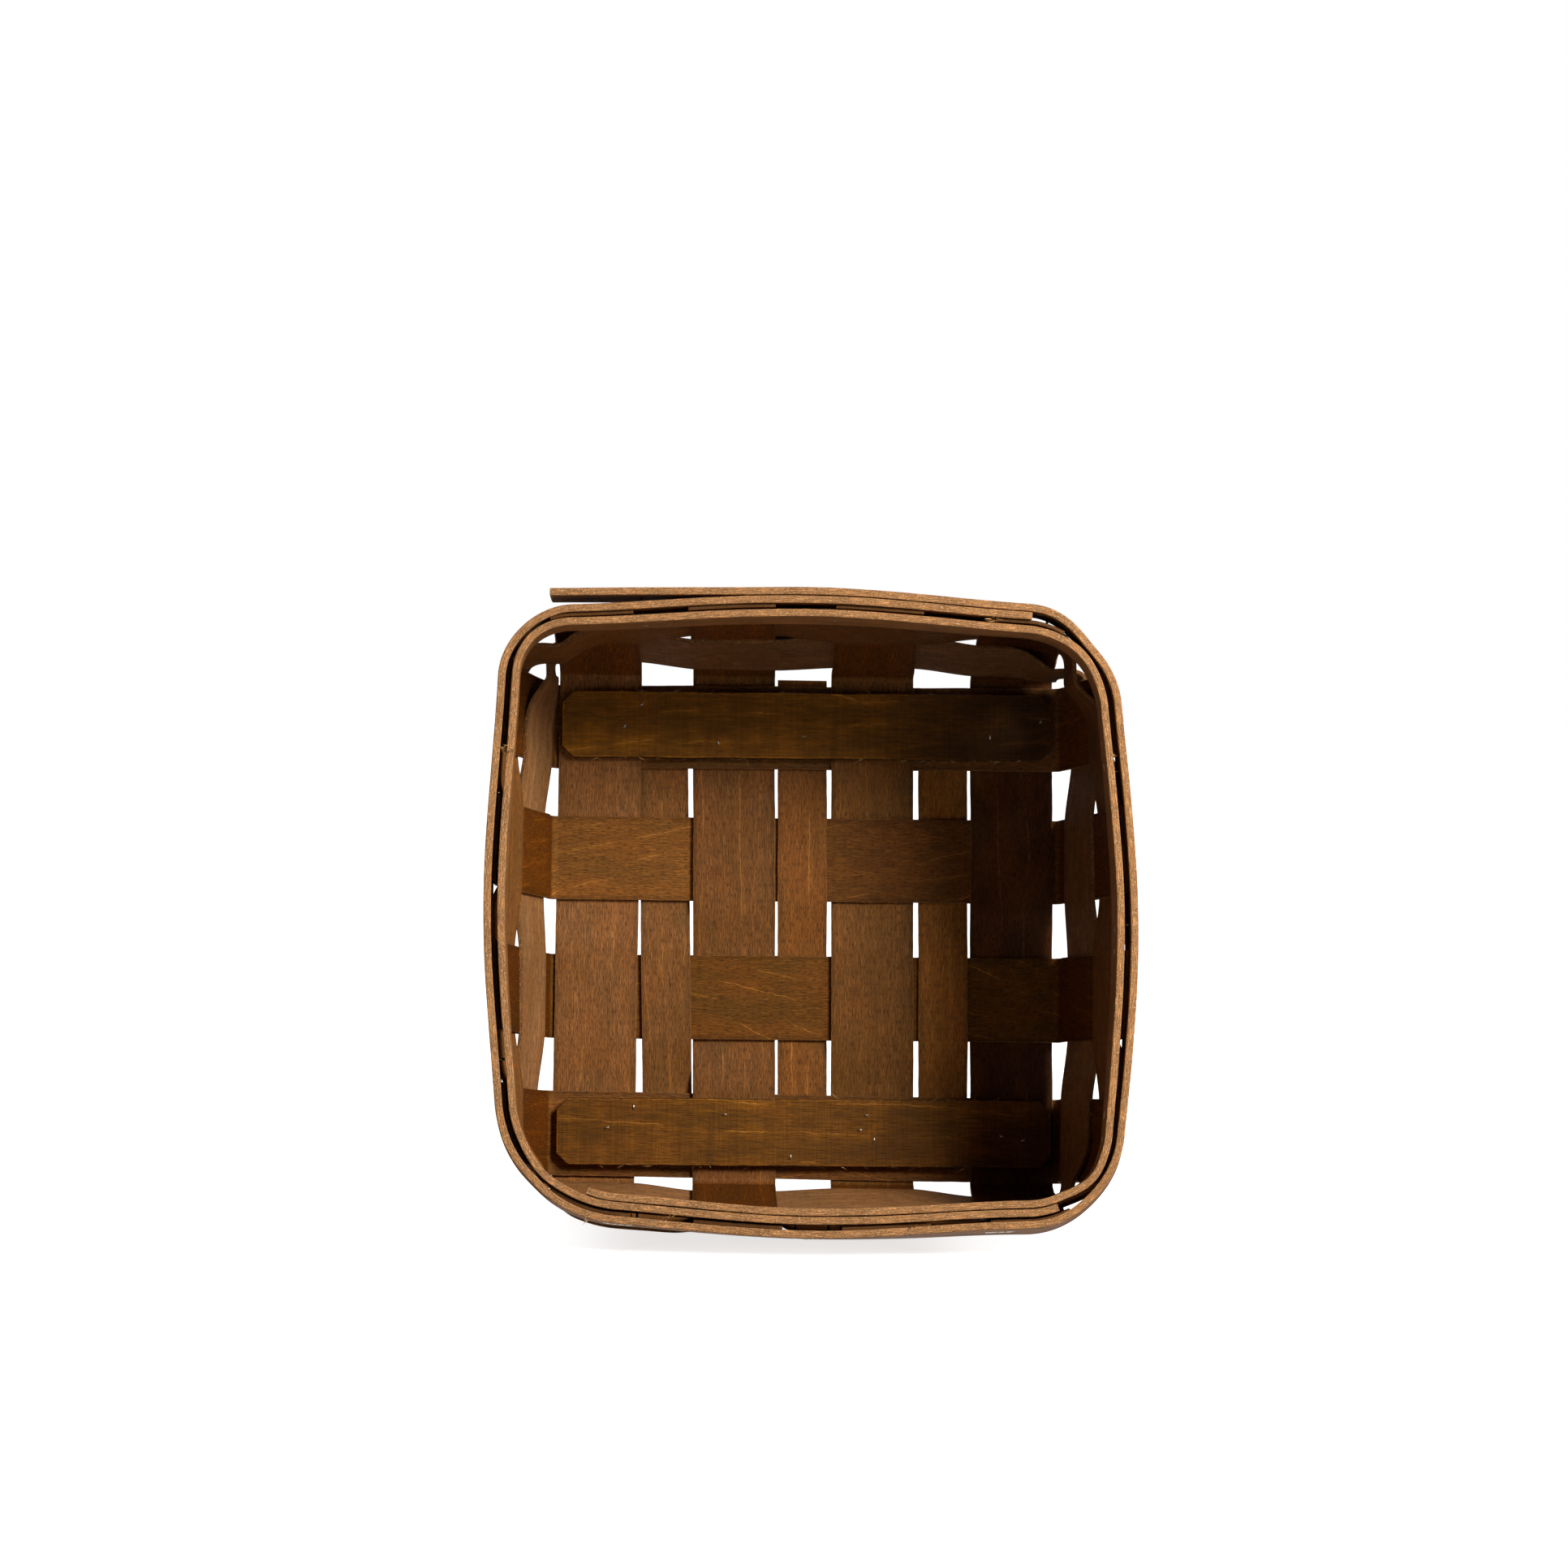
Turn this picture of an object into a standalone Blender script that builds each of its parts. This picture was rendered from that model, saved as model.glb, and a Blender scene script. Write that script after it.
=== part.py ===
"""A square basket woven from flat wood splints, standing on its two outer runners.

Metres, +Z up out of the opening. The base is a plain weave of four splints each way,
with a narrow filler slat in each gap of one direction. Every splint turns up at both
ends into the walls, where two weavers go in and out of them, and two rim bands clasp
the tips. Two pairs of runners stiffen the base, one above it and one below.
"""
import math

import bmesh
import bpy
from mathutils import Vector

# Splints: four run each way across the base
SPLINTS_EACH_WAY = 4
SPLINT_WIDTH = 0.0254
SPLINT_THICKNESS = 0.0012
FOLD_RADIUS = 0.0028           # where a splint turns up, at the middle of its thickness
FOLD_LEAD = 0.0003             # the fold starts this far inside the edge of the base
TIP_DROP = 0.0010              # the tips end this far below the top of the rim bands

# Filler slats: in the base only, beside the splints that run along Y
FILLER_WIDTH = 0.0152
FILLER_THICKNESS = 0.0010
FILLER_LENGTH = 0.1500
MIDDLE_FILLER_SHIFT = 0.0027   # the middle one sits off centre and shows its end
SLOT = 0.0010                  # open slit between a filler and the splint beside it

AIR = 0.00035                  # between pieces that touch on the real basket

# Weavers: two strips that go round the walls
WEAVER_WIDTH = 0.0254
WEAVER_THICKNESS = 0.0012
FOOT_GAP = 0.0076              # open wall between the base and the lower weaver
WEAVER_GAP = 0.0008            # open slit between the two weavers
WEAVER_START_BACK = 0.0031     # a weaver starts this far before the middle of a splint
WEAVER_END_BACK = 0.0037       # and ends this far before the middle of the next one

# Rim bands: one outside the tips and one inside, each lapped over itself along a wall
BAND_HEIGHT = 0.0195
BAND_THICKNESS = 0.0022
RIM_GAP = 0.0020               # between the upper weaver and the bands
BAND_BLEND = 0.0270            # past a corner, over which a band steps to its second layer
OUTER_BAND_TUCK = 0.0635       # from the middle of the wall to the end that is hidden
OUTER_BAND_FREE = 0.0760       # to the end that shows
INNER_BAND_FREE = 0.0635
INNER_BAND_TUCK = 0.0680

# Wall shape: it flares most at its foot and less toward the rim, then a shoulder turns it to a
# rim that leans back
FOOT_FLARE = math.radians(17.5)
TOP_FLARE = math.radians(6.6)  # just below the shoulder
LEAN = math.radians(1.2)
SHOULDER_LENGTH = 0.0080
SHOULDER_LEAD = 0.0012         # the shoulder starts this far below the weaver's top edge
RIM_CORNER_RADIUS = 0.0305
CORNER_FLAT = 0.0008           # at the foot, the corner starts this far past the splints
CORNER_GROWTH_POWER = 0.6      # how the corner radius grows with height
RIM_BOW = 0.0043               # how far the rim's corners sit inside its mid-wall points

# Runners: stiff slats with clipped corners, above and below the outer cross splints
RUNNER_LENGTH = 0.1515
RUNNER_WIDTH = 0.0206
RUNNER_THICKNESS = 0.0026
RUNNER_CLIP = 0.0040
RUNNER_EDGE_BEVEL = 0.0003

# Where the centre lines and edges of the base lie
PITCH = SPLINT_WIDTH + FILLER_WIDTH + 2 * SLOT
SPLINT_LINES = [
    (index - (SPLINTS_EACH_WAY - 1) / 2) * PITCH for index in range(SPLINTS_EACH_WAY)
]
FILLER_LINES = [(a + b) / 2 for a, b in zip(SPLINT_LINES, SPLINT_LINES[1:])]
BASE_HALF = SPLINT_LINES[-1] + SPLINT_WIDTH / 2

# How far a strip stands off the splint that it passes
SPLINT_STEP = SPLINT_THICKNESS + AIR
FILLER_STEP = (SPLINT_THICKNESS + FILLER_THICKNESS) / 2 + AIR
WEAVER_STEP = (SPLINT_THICKNESS + WEAVER_THICKNESS) / 2 + AIR
WEAVER_LAP_STEP = WEAVER_THICKNESS + AIR
BAND_STEP = (SPLINT_THICKNESS + BAND_THICKNESS) / 2 + AIR
BAND_LAP_STEP = BAND_THICKNESS + AIR

# Distances up the slope of the wall, from the level of the base
FOLD_HALF = BASE_HALF - FOLD_LEAD
FOOT_HALF = FOLD_HALF + FOLD_RADIUS * (1 - math.sin(FOOT_FLARE)) / math.cos(FOOT_FLARE)
LOWER_WEAVER = (FOOT_GAP, FOOT_GAP + WEAVER_WIDTH)
UPPER_WEAVER = (LOWER_WEAVER[1] + WEAVER_GAP, LOWER_WEAVER[1] + WEAVER_GAP + WEAVER_WIDTH)
BANDS = (UPPER_WEAVER[1] + RIM_GAP, UPPER_WEAVER[1] + RIM_GAP + BAND_HEIGHT)
SHOULDER = (UPPER_WEAVER[1] - SHOULDER_LEAD, UPPER_WEAVER[1] - SHOULDER_LEAD + SHOULDER_LENGTH)
TIP = BANDS[1] - TIP_DROP
WALL_ARCS = ((LOWER_WEAVER[0], SHOULDER[0], FOOT_FLARE, TOP_FLARE), (*SHOULDER, TOP_FLARE, -LEAN))

# Distance round the girth: each side is followed by one corner
CORNER_RUN = PITCH - SPLINT_WIDTH
SIDE_RUN = 2 * BASE_HALF + CORNER_RUN
SIDES = (
    (Vector((1, 0, 0)), Vector((0, -1, 0))),
    (Vector((0, 1, 0)), Vector((1, 0, 0))),
    (Vector((-1, 0, 0)), Vector((0, 1, 0))),
    (Vector((0, -1, 0)), Vector((-1, 0, 0))),
)
FRONT, RIGHT, BACK, LEFT = range(len(SIDES))

# Facets: how many a curve gets
FOLD_FACETS = 4
WEAVE_FACETS = 4
CORNER_FACETS = 6
OUTER_SPLINT_FACETS = 4
INNER_SPLINT_FACETS = 2

# The parts' heights in the base
RUNNER_OFFSET = SPLINT_STEP + SPLINT_THICKNESS / 2 + AIR + RUNNER_THICKNESS / 2
GROUND_DEPTH = RUNNER_OFFSET + RUNNER_THICKNESS / 2

WOOD = {
    "splint": ((0.26, 0.125, 0.045), 0.55),
    "filler": ((0.20, 0.085, 0.026), 0.55),
    "weaver": ((0.22, 0.095, 0.030), 0.55),
    "band": ((0.36, 0.185, 0.075), 0.50),
    "runner": ((0.085, 0.034, 0.010), 0.60),
}


def ease(share):
    share = min(max(share, 0), 1)
    return share * share * (3 - 2 * share)


def mix(a, b, share):
    return a + (b - a) * share


def shares(facets):
    return [index / facets for index in range(facets + 1)]


def wall_profile(up):
    """Half the width across the wall's middle surface, and its height, at a distance up the slope."""
    straight = min(up, LOWER_WEAVER[0])
    half = FOOT_HALF + straight * math.sin(FOOT_FLARE)
    height = straight * math.cos(FOOT_FLARE)
    for low, high, flare, next_flare in WALL_ARCS:
        radius = (high - low) / (flare - next_flare)
        angle = flare - min(max(up - low, 0), high - low) / radius
        half += radius * (math.cos(angle) - math.cos(flare))
        height += radius * (math.sin(flare) - math.sin(angle))
    above = max(up - SHOULDER[1], 0)
    return half - above * math.sin(LEAN), height + above * math.cos(LEAN)


def height_share(height):
    """0 at the lower edge of the lower weaver, 1 from the top of the shoulder up."""
    low, high = wall_profile(LOWER_WEAVER[0])[1], wall_profile(SHOULDER[1])[1]
    return min(max((height - low) / (high - low), 0), 1)


def corner_radius(height):
    foot_radius = wall_profile(LOWER_WEAVER[0])[0] - BASE_HALF - CORNER_FLAT
    return mix(foot_radius, RIM_CORNER_RADIUS, height_share(height) ** CORNER_GROWTH_POWER)


def corner_place(half, radius, share):
    """Along and across a side, and the turn of the normal, at a share of the way round its corner."""
    flat = max(half - radius - BASE_HALF, 0)
    first = math.asin(max(BASE_HALF - half + radius, 0) / radius)
    arc = radius * (math.pi / 2 - 2 * first)
    walked = share * (2 * flat + arc)
    turn = first + min(max(walked - flat, 0), arc) / radius
    before = max(flat - walked, 0)
    after = max(walked - flat - arc, 0)
    along = half - radius + radius * math.sin(turn) - before
    across = half - radius + radius * math.cos(turn) - after
    if walked <= flat:
        turn = 0
    if walked >= flat + arc and flat > 0:
        turn = math.pi / 2
    return along, across, turn


def side_place(half, radius, along):
    past = max(abs(along) - (half - radius), 0) if half - radius < BASE_HALF else 0
    turn = math.copysign(math.asin(past / radius), along)
    return along, half - radius + radius * math.cos(turn), turn


def wall_point(girth, up, offset):
    """A point of the wall: so far round the girth and up the slope, and so far outside the middle surface."""
    half, height = wall_profile(up)
    radius = corner_radius(height)
    side = math.floor(girth / SIDE_RUN + 0.5)
    along = girth - side * SIDE_RUN
    bow_reach = half - radius * (1 - math.cos(math.pi / 4))
    edge_share = BASE_HALF / bow_reach
    if abs(along) <= BASE_HALF:
        place = side_place(half, radius, along)
        bow_share = abs(along) / bow_reach
    else:
        share = (along - BASE_HALF) / CORNER_RUN
        if along < 0:
            side -= 1
            share = (along + BASE_HALF) / CORNER_RUN + 1
        place = corner_place(half, radius, share)
        bow_share = mix(edge_share, 1, 1 - abs(2 * share - 1))
    bow = RIM_BOW * height_share(height) ** 2 * (1 - math.cos(math.pi * bow_share)) / 2
    onward, outward = SIDES[side % len(SIDES)]
    along, across, turn = place
    normal = onward * math.sin(turn) + outward * math.cos(turn)
    return onward * along + outward * across + normal * (offset - bow) + Vector((0, 0, height))


def splint_facets(index):
    outer = index in (0, SPLINTS_EACH_WAY - 1)
    return OUTER_SPLINT_FACETS if outer else INNER_SPLINT_FACETS


def splint_columns(index):
    """Places across one splint, from its middle."""
    return [(share - 0.5) * SPLINT_WIDTH for share in shares(splint_facets(index))]


def upright_middle(count):
    """The girth at the middle of an upright: they are counted on from the first of the front wall."""
    side, index = divmod(count, SPLINTS_EACH_WAY)
    return side * SIDE_RUN + SPLINT_LINES[index]


def girth_stations(start, end, between):
    """Where a strip that goes round has its points. Between two uprights it has this many facets."""
    found = [start, end]
    last_count = math.ceil(end / SIDE_RUN + 1) * SPLINTS_EACH_WAY
    for count in range(-SPLINTS_EACH_WAY, last_count):
        index = count % SPLINTS_EACH_WAY
        middle = upright_middle(count)
        found += [middle + column for column in splint_columns(index)]
        near = middle + SPLINT_WIDTH / 2
        far = upright_middle(count + 1) - SPLINT_WIDTH / 2
        facets = CORNER_FACETS if index == SPLINTS_EACH_WAY - 1 else between
        found += [mix(near, far, share) for share in shares(facets)[1:-1]]
    return sorted(g for g in found if start <= g <= end)


def make_material(kind):
    colour, roughness = WOOD[kind]
    material = bpy.data.materials.new(kind + "_wood")
    material.use_nodes = True
    shader = material.node_tree.nodes["Principled BSDF"]
    shader.inputs["Base Color"].default_value = (*colour, 1)
    shader.inputs["Roughness"].default_value = roughness
    shader.inputs["Metallic"].default_value = 0
    return material


def add_object(name, mesh, kind, place=Vector()):
    mesh.materials.append(make_material(kind))
    made = bpy.data.objects.new(name, mesh)
    made.location = place
    made.parent = bpy.data.objects["basket"]
    bpy.context.scene.collection.objects.link(made)
    return made


def add_strip(name, rows, thickness, kind):
    """A strip of veneer from the rows of points on its middle surface.

    Every strip on the walls splits its faces the same way round, so that the facets of
    two strips that lie on each other are parallel.
    """
    shape = bmesh.new()
    grid = [[shape.verts.new(point) for point in row] for row in rows]
    for row, following in zip(grid, grid[1:]):
        for a, b, c, d in zip(row, row[1:], following[1:], following):
            shape.faces.new((a, b, c))
            shape.faces.new((a, c, d))
    mesh = bpy.data.meshes.new(name)
    shape.to_mesh(mesh)
    shape.free()
    made = add_object(name, mesh, kind)
    solid = made.modifiers.new("thickness", "SOLIDIFY")
    solid.thickness = thickness
    solid.offset = 0
    solid.use_even_offset = True
    return made


def weave_heights(goes_over, step):
    """(distance, height) pairs between the outer cross splints, over and under the inner ones."""
    pairs = [(line, step if over else -step) for line, over in zip(SPLINT_LINES, goes_over)]
    stations = []
    for (line, height), (next_line, next_height) in zip(pairs, pairs[1:]):
        near, far = line + SPLINT_WIDTH / 2, next_line - SPLINT_WIDTH / 2
        for share in shares(WEAVE_FACETS):
            stations.append((mix(near, far, share), mix(height, next_height, ease(share))))
    return stations


def fold_start(base_height):
    """How far from the middle of the base a splint at this height starts to turn up."""
    return FOLD_HALF + base_height * math.tan(FOOT_FLARE)


def upright_rows(side, line, columns, base_height):
    """Rows of a splint's upright end, from the base to its tip."""
    onward, outward = SIDES[side]
    rows = []
    for share in shares(FOLD_FACETS)[1:]:
        angle = share * (math.pi / 2 - FOOT_FLARE)
        reach = fold_start(base_height) + FOLD_RADIUS * math.sin(angle)
        height = base_height + FOLD_RADIUS * (1 - math.cos(angle))
        rows.append([
            onward * (line + column) + outward * reach + Vector((0, 0, height)) for column in columns
        ])
    levels = [
        LOWER_WEAVER[0], sum(LOWER_WEAVER) / 2, LOWER_WEAVER[1],
        sum(UPPER_WEAVER) / 2, SHOULDER[0], BANDS[0], SHOULDER[1], TIP,
    ]
    for up in levels:
        rows.append([wall_point(side * SIDE_RUN + line + column, up, 0) for column in columns])
    return rows


def add_splint(name, index, along, near_side, far_side, heights):
    """One whole splint: up one wall, across the base and up the other wall.

    It runs along the unit vector; near_side is the wall that it leaves, far_side the one
    it reaches. heights is the list of (distance, height) pairs across the base.
    """
    line = SPLINT_LINES[index]
    columns = splint_columns(index)
    across = SIDES[near_side][0]
    far_sign = round(across.dot(SIDES[far_side][0]))
    near = upright_rows(near_side, line, columns, heights[0][1])
    far = upright_rows(far_side, far_sign * line, [far_sign * column for column in columns], heights[-1][1])
    base = [
        [along * distance + across * (line + column) + Vector((0, 0, height)) for column in columns]
        for distance, height in heights
    ]
    return add_strip(name, near[::-1] + base + far, SPLINT_THICKNESS, "splint")


def add_length_splints():
    """The splints along Y: each goes over every second cross splint."""
    for index in range(SPLINTS_EACH_WAY):
        goes_over = [(index + cross) % 2 == 1 for cross in range(SPLINTS_EACH_WAY)]
        heights = weave_heights(goes_over, SPLINT_STEP)
        first, last = heights[0][1], heights[-1][1]
        heights = [(-fold_start(first), first), *heights, (fold_start(last), last)]
        add_splint(f"length_splint_{index + 1}", index, Vector((0, 1, 0)), FRONT, BACK, heights)


def add_cross_splints():
    """The splints along X lie flat, and the others weave over and under them."""
    for index in range(SPLINTS_EACH_WAY):
        heights = [(-fold_start(0), 0), (fold_start(0), 0)]
        line_order = SPLINTS_EACH_WAY - 1 - index
        add_splint(f"cross_splint_{index + 1}", line_order, Vector((-1, 0, 0)), RIGHT, LEFT, heights)


def add_fillers():
    """They tuck under the outer cross splints and pass the inner ones by turns."""
    for index, line in enumerate(FILLER_LINES):
        goes_over = [cross in (1, 2) and (index + cross) % 2 == 1 for cross in range(SPLINTS_EACH_WAY)]
        shift = MIDDLE_FILLER_SHIFT if index == len(FILLER_LINES) // 2 else 0
        heights = weave_heights(goes_over, FILLER_STEP)
        start, end = shift - FILLER_LENGTH / 2, shift + FILLER_LENGTH / 2
        rows = [
            [Vector((line + edge, distance, height)) for edge in (-FILLER_WIDTH / 2, FILLER_WIDTH / 2)]
            for distance, height in [(start, heights[0][1]), *heights, (end, heights[-1][1])]
        ]
        add_strip(f"filler_slat_{index + 1}", rows, FILLER_THICKNESS, "filler")


def add_girth_strip(name, stations, levels, offset_at, thickness, kind):
    rows = [[wall_point(g, up, offset_at(g)) for up in reversed(levels)] for g in stations]
    return add_strip(name, rows, thickness, kind)


def weaver_offset(girth, first_outside, start, start_count):
    """How far outside the uprights' middle a weaver runs, in and out by turns.

    Where the tail comes round to the weaver's own start, it steps out over it and ends
    outside the next upright.
    """
    around = len(SIDES) * SPLINTS_EACH_WAY
    tail_count = start_count + around

    def at_upright(count):
        if count == tail_count:
            return WEAVER_STEP + WEAVER_LAP_STEP
        if count > tail_count:
            return WEAVER_STEP
        outside = count % 2 == first_outside
        return WEAVER_STEP if outside else -WEAVER_STEP

    count = 0
    while upright_middle(count) + SPLINT_WIDTH / 2 < girth:
        count += 1
    near_edge = upright_middle(count) - SPLINT_WIDTH / 2
    if girth < near_edge:
        last_edge = upright_middle(count - 1) + SPLINT_WIDTH / 2
        reached = WEAVER_STEP if count == tail_count else at_upright(count)
        return mix(at_upright(count - 1), reached, ease((girth - last_edge) / (near_edge - last_edge)))
    if count == tail_count:
        lap_start = start + len(SIDES) * SIDE_RUN - WEAVER_THICKNESS
        return WEAVER_STEP + WEAVER_LAP_STEP * ease((girth - near_edge) / (lap_start - near_edge))
    return at_upright(count)


def add_weaver(name, edges, first_outside, start_count):
    """A weaver starts outside one upright, goes round once and laps over its own start."""
    start = upright_middle(start_count) - WEAVER_START_BACK
    end = upright_middle(start_count + len(SIDES) * SPLINTS_EACH_WAY + 1) - WEAVER_END_BACK
    lap_start = start + len(SIDES) * SIDE_RUN - WEAVER_THICKNESS
    stations = sorted(girth_stations(start, end, WEAVE_FACETS) + [lap_start])
    levels = [mix(*edges, share) for share in shares(2)]

    def offset_at(girth):
        return weaver_offset(girth, first_outside, start, start_count)

    add_girth_strip(name, stations, levels, offset_at, WEAVER_THICKNESS, "weaver")


def add_outer_band():
    """It starts hidden along the back wall, goes round, and laps over itself along that wall."""
    start = BACK * SIDE_RUN - OUTER_BAND_TUCK
    end = (BACK + len(SIDES)) * SIDE_RUN + OUTER_BAND_FREE
    over = start + len(SIDES) * SIDE_RUN - BAND_THICKNESS
    leave = over - 2 * BAND_BLEND
    levels = [BANDS[0], SHOULDER[1], BANDS[1]]

    def offset_at(girth):
        return BAND_STEP + BAND_LAP_STEP * ease((girth - leave) / (over - leave))

    stations = sorted(girth_stations(start, end, 1) + [over])
    add_girth_strip("outer_rim_band", stations, levels, offset_at, BAND_THICKNESS, "band")


def add_inner_band():
    """Its free end lies innermost along the front wall, and its other end passes behind it there."""
    start = FRONT * SIDE_RUN - INNER_BAND_FREE
    end = (FRONT + len(SIDES)) * SIDE_RUN + INNER_BAND_TUCK
    under = end - len(SIDES) * SIDE_RUN + BAND_THICKNESS
    arrive = under + 2 * BAND_BLEND
    levels = [BANDS[0], SHOULDER[1], BANDS[1]]

    def offset_at(girth):
        return -BAND_STEP - BAND_LAP_STEP * (1 - ease((girth - under) / (arrive - under)))

    stations = sorted(girth_stations(start, end, 1) + [under])
    add_girth_strip("inner_rim_band", stations, levels, offset_at, BAND_THICKNESS, "band")


def runner_mesh(name):
    """A flat slat along X with its four corners clipped."""
    end, side = RUNNER_LENGTH / 2, RUNNER_WIDTH / 2
    quarter = [(end, side - RUNNER_CLIP), (end - RUNNER_CLIP, side)]
    outline = quarter + [(-x, y) for x, y in quarter[::-1]]
    outline += [(-x, -y) for x, y in outline]
    shape = bmesh.new()
    face = shape.faces.new([shape.verts.new((x, y, -RUNNER_THICKNESS / 2)) for x, y in outline])
    grown = bmesh.ops.extrude_face_region(shape, geom=[face])
    moved = [item for item in grown["geom"] if isinstance(item, bmesh.types.BMVert)]
    bmesh.ops.translate(shape, verts=moved, vec=(0, 0, RUNNER_THICKNESS))
    bmesh.ops.recalc_face_normals(shape, faces=shape.faces)
    mesh = bpy.data.meshes.new(name)
    shape.to_mesh(mesh)
    shape.free()
    return mesh


def add_runners():
    for place, sign in (("inner", 1), ("outer", -1)):
        for index, line in enumerate((SPLINT_LINES[-1], SPLINT_LINES[0])):
            name = f"{place}_runner_{index + 1}"
            made = add_object(name, runner_mesh(name), "runner", Vector((0, line, sign * RUNNER_OFFSET)))
            bevel = made.modifiers.new("worn_edges", "BEVEL")
            bevel.width = RUNNER_EDGE_BEVEL
            bevel.segments = 1


def main():
    for old in list(bpy.data.objects):
        bpy.data.objects.remove(old, do_unlink=True)
    basket = bpy.data.objects.new("basket", None)
    basket.location = (0, -BAND_LAP_STEP / 2, GROUND_DEPTH)
    bpy.context.scene.collection.objects.link(basket)
    add_length_splints()
    add_cross_splints()
    add_fillers()
    add_runners()
    add_weaver("lower_weaver", LOWER_WEAVER, 1, BACK * SPLINTS_EACH_WAY + 1)
    add_weaver("upper_weaver", UPPER_WEAVER, 0, FRONT * SPLINTS_EACH_WAY)
    add_outer_band()
    add_inner_band()


main()
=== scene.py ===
"""The looks of the square splint basket: every strip of veneer, the rim bands, the runners,
the wire staples, the floor that the basket lies on, its light and its camera.

Metres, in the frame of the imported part. The basket stands with its opening up; the camera
looks down into it and the floor leans against the front wall, as when it lies on its side.
"""

import math
import random

import bpy
import numpy as np
from mathutils import Matrix, Vector, noise


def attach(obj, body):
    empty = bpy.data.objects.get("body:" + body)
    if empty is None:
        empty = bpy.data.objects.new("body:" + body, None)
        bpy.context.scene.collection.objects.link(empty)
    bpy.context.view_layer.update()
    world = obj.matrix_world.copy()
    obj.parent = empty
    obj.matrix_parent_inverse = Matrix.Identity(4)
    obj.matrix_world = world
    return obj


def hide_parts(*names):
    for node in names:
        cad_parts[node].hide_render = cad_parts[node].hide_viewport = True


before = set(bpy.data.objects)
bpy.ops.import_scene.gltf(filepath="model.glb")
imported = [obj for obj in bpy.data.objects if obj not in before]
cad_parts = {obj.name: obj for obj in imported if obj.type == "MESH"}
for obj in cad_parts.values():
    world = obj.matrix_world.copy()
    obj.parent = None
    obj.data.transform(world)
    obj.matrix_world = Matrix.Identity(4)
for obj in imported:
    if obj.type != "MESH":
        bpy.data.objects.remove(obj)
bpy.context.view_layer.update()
MM = 0.001

# Splints, filler slats and weavers: stained veneer
STRIPS_EACH_WAY = 4
STRIP_WIDTH = 25.4 * MM
CROSS_SPLINT_WIDTH = 25.9 * MM     # these four were cut a little wide
VENEER = 1.2 * MM
FILLER_WIDTH = 15.2 * MM
FILLER_THICKNESS = 1.0 * MM
FILLER_LENGTH = 150.0 * MM
MIDDLE_FILLER_SHIFT = 2.7 * MM
SLOT = 1.0 * MM
TOUCH = 0.05 * MM              # between strips that lie on each other
PACKED_AIR = 0.35 * MM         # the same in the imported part, which sets the height of the base
FOLD_RADIUS = 2.8 * MM
FOLD_LEAD = 0.3 * MM
CROSS_SHARE = 0.28             # of each crossing's step that the splint along X takes
TIP_DROPS = (1.2 * MM, 4.5 * MM, 1.2 * MM, 4.5 * MM)       # of the uprights, front, right, back, left
FOOT_GAP = 7.6 * MM
WEAVER_GAP = 0.8 * MM
WEAVER_START_BACK = 3.1 * MM
WEAVER_END_BACK = 3.7 * MM

# Rim bands
BAND_HEIGHT = 19.5 * MM
BAND_THICKNESS = 2.2 * MM
RIM_GAP = 2.0 * MM
OUTER_BAND_TUCK = 65.0 * MM
OUTER_BAND_FREE = 76.0 * MM
INNER_BAND_FREE = 67.0 * MM
INNER_BAND_TUCK = 73.5 * MM

# Shape of the walls
FOOT_FLARE = math.radians(17.5)
TOP_FLARE = math.radians(6.6)
LEAN = math.radians(1.2)
SHOULDER_LENGTH = 8.0 * MM
SHOULDER_LEAD = 1.2 * MM
WALL_CORNER_RADIUS = 36.0 * MM     # the weavers' corners, were they to reach the rim
RIM_CORNER_RADII = (28.8 * MM, 28.0 * MM, 22.3 * MM, 34.8 * MM)    # after front, right, back, left
RIM_CORNERS_FROM = (26.0 * MM, 50.0 * MM)   # heights between which the rim's corners take over
CORNER_FLAT = 0.8 * MM
CORNER_GROWTH_POWER = 0.6
RIM_BOW = 4.3 * MM

# The rim was pulled out of square: how far it is racked, stretched and shifted, and each corner pulled.
# Corners are in the order of those after the front, the right, the back and the left wall.
RACK_X, RACK_Y = -0.0114, -0.0086
STRETCH_X, STRETCH_Y = 0.009, -0.009
RIM_SHIFT = Vector((-0.25 * MM, -0.9 * MM, 0))
CORNER_PULLS = ((-1.0 * MM, -0.8 * MM), (-0.7 * MM, 0.3 * MM), (0, 0), (0, 0))
PULL_REACH = 45.0 * MM

# How the uprights give way to the weavers
INNER_UPRIGHT_GIVE = 0.8 * MM
OUTER_UPRIGHT_GIVE = -0.35 * MM
GIVE_FROM = FOOT_GAP / 3       # up the slope, where that begins
GIVE_OVER = FOOT_GAP * 0.8     # and the way from there to the whole of it
GIVE_TURN = 3.0 * MM           # half the way from pushed out to pushed in
TIP_TURN = 4.0 * MM            # the way from the upper weaver's edge to a level tip

# How the weavers run
CORNER_CUTS = (0.8 * MM, 5.5 * MM, 5.5 * MM, 1.0 * MM)     # how far one cuts each corner, highest up
CUT_AT_FOOT = 0.3              # of that cut, left at the foot of the wall
CUT_REACH = 0.7                # of a strip's width, along which one comes in before a corner
TURN_SOFTNESS = 0.4            # between uprights: 0 runs straight across, 1 turns softly beside each
KEPT_OUT = 7                   # the higher this is, the nearer to the next upright an upper edge stays out
KEPT_OUT_RISE = 6.0 * MM       # up the slope, from no such stay to all of it
KEPT_OUT_START = 1.5           # such rises below the bands
TAIL_SLACK = 0.5 * MM          # how far the upper weaver's lap stands off

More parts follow.
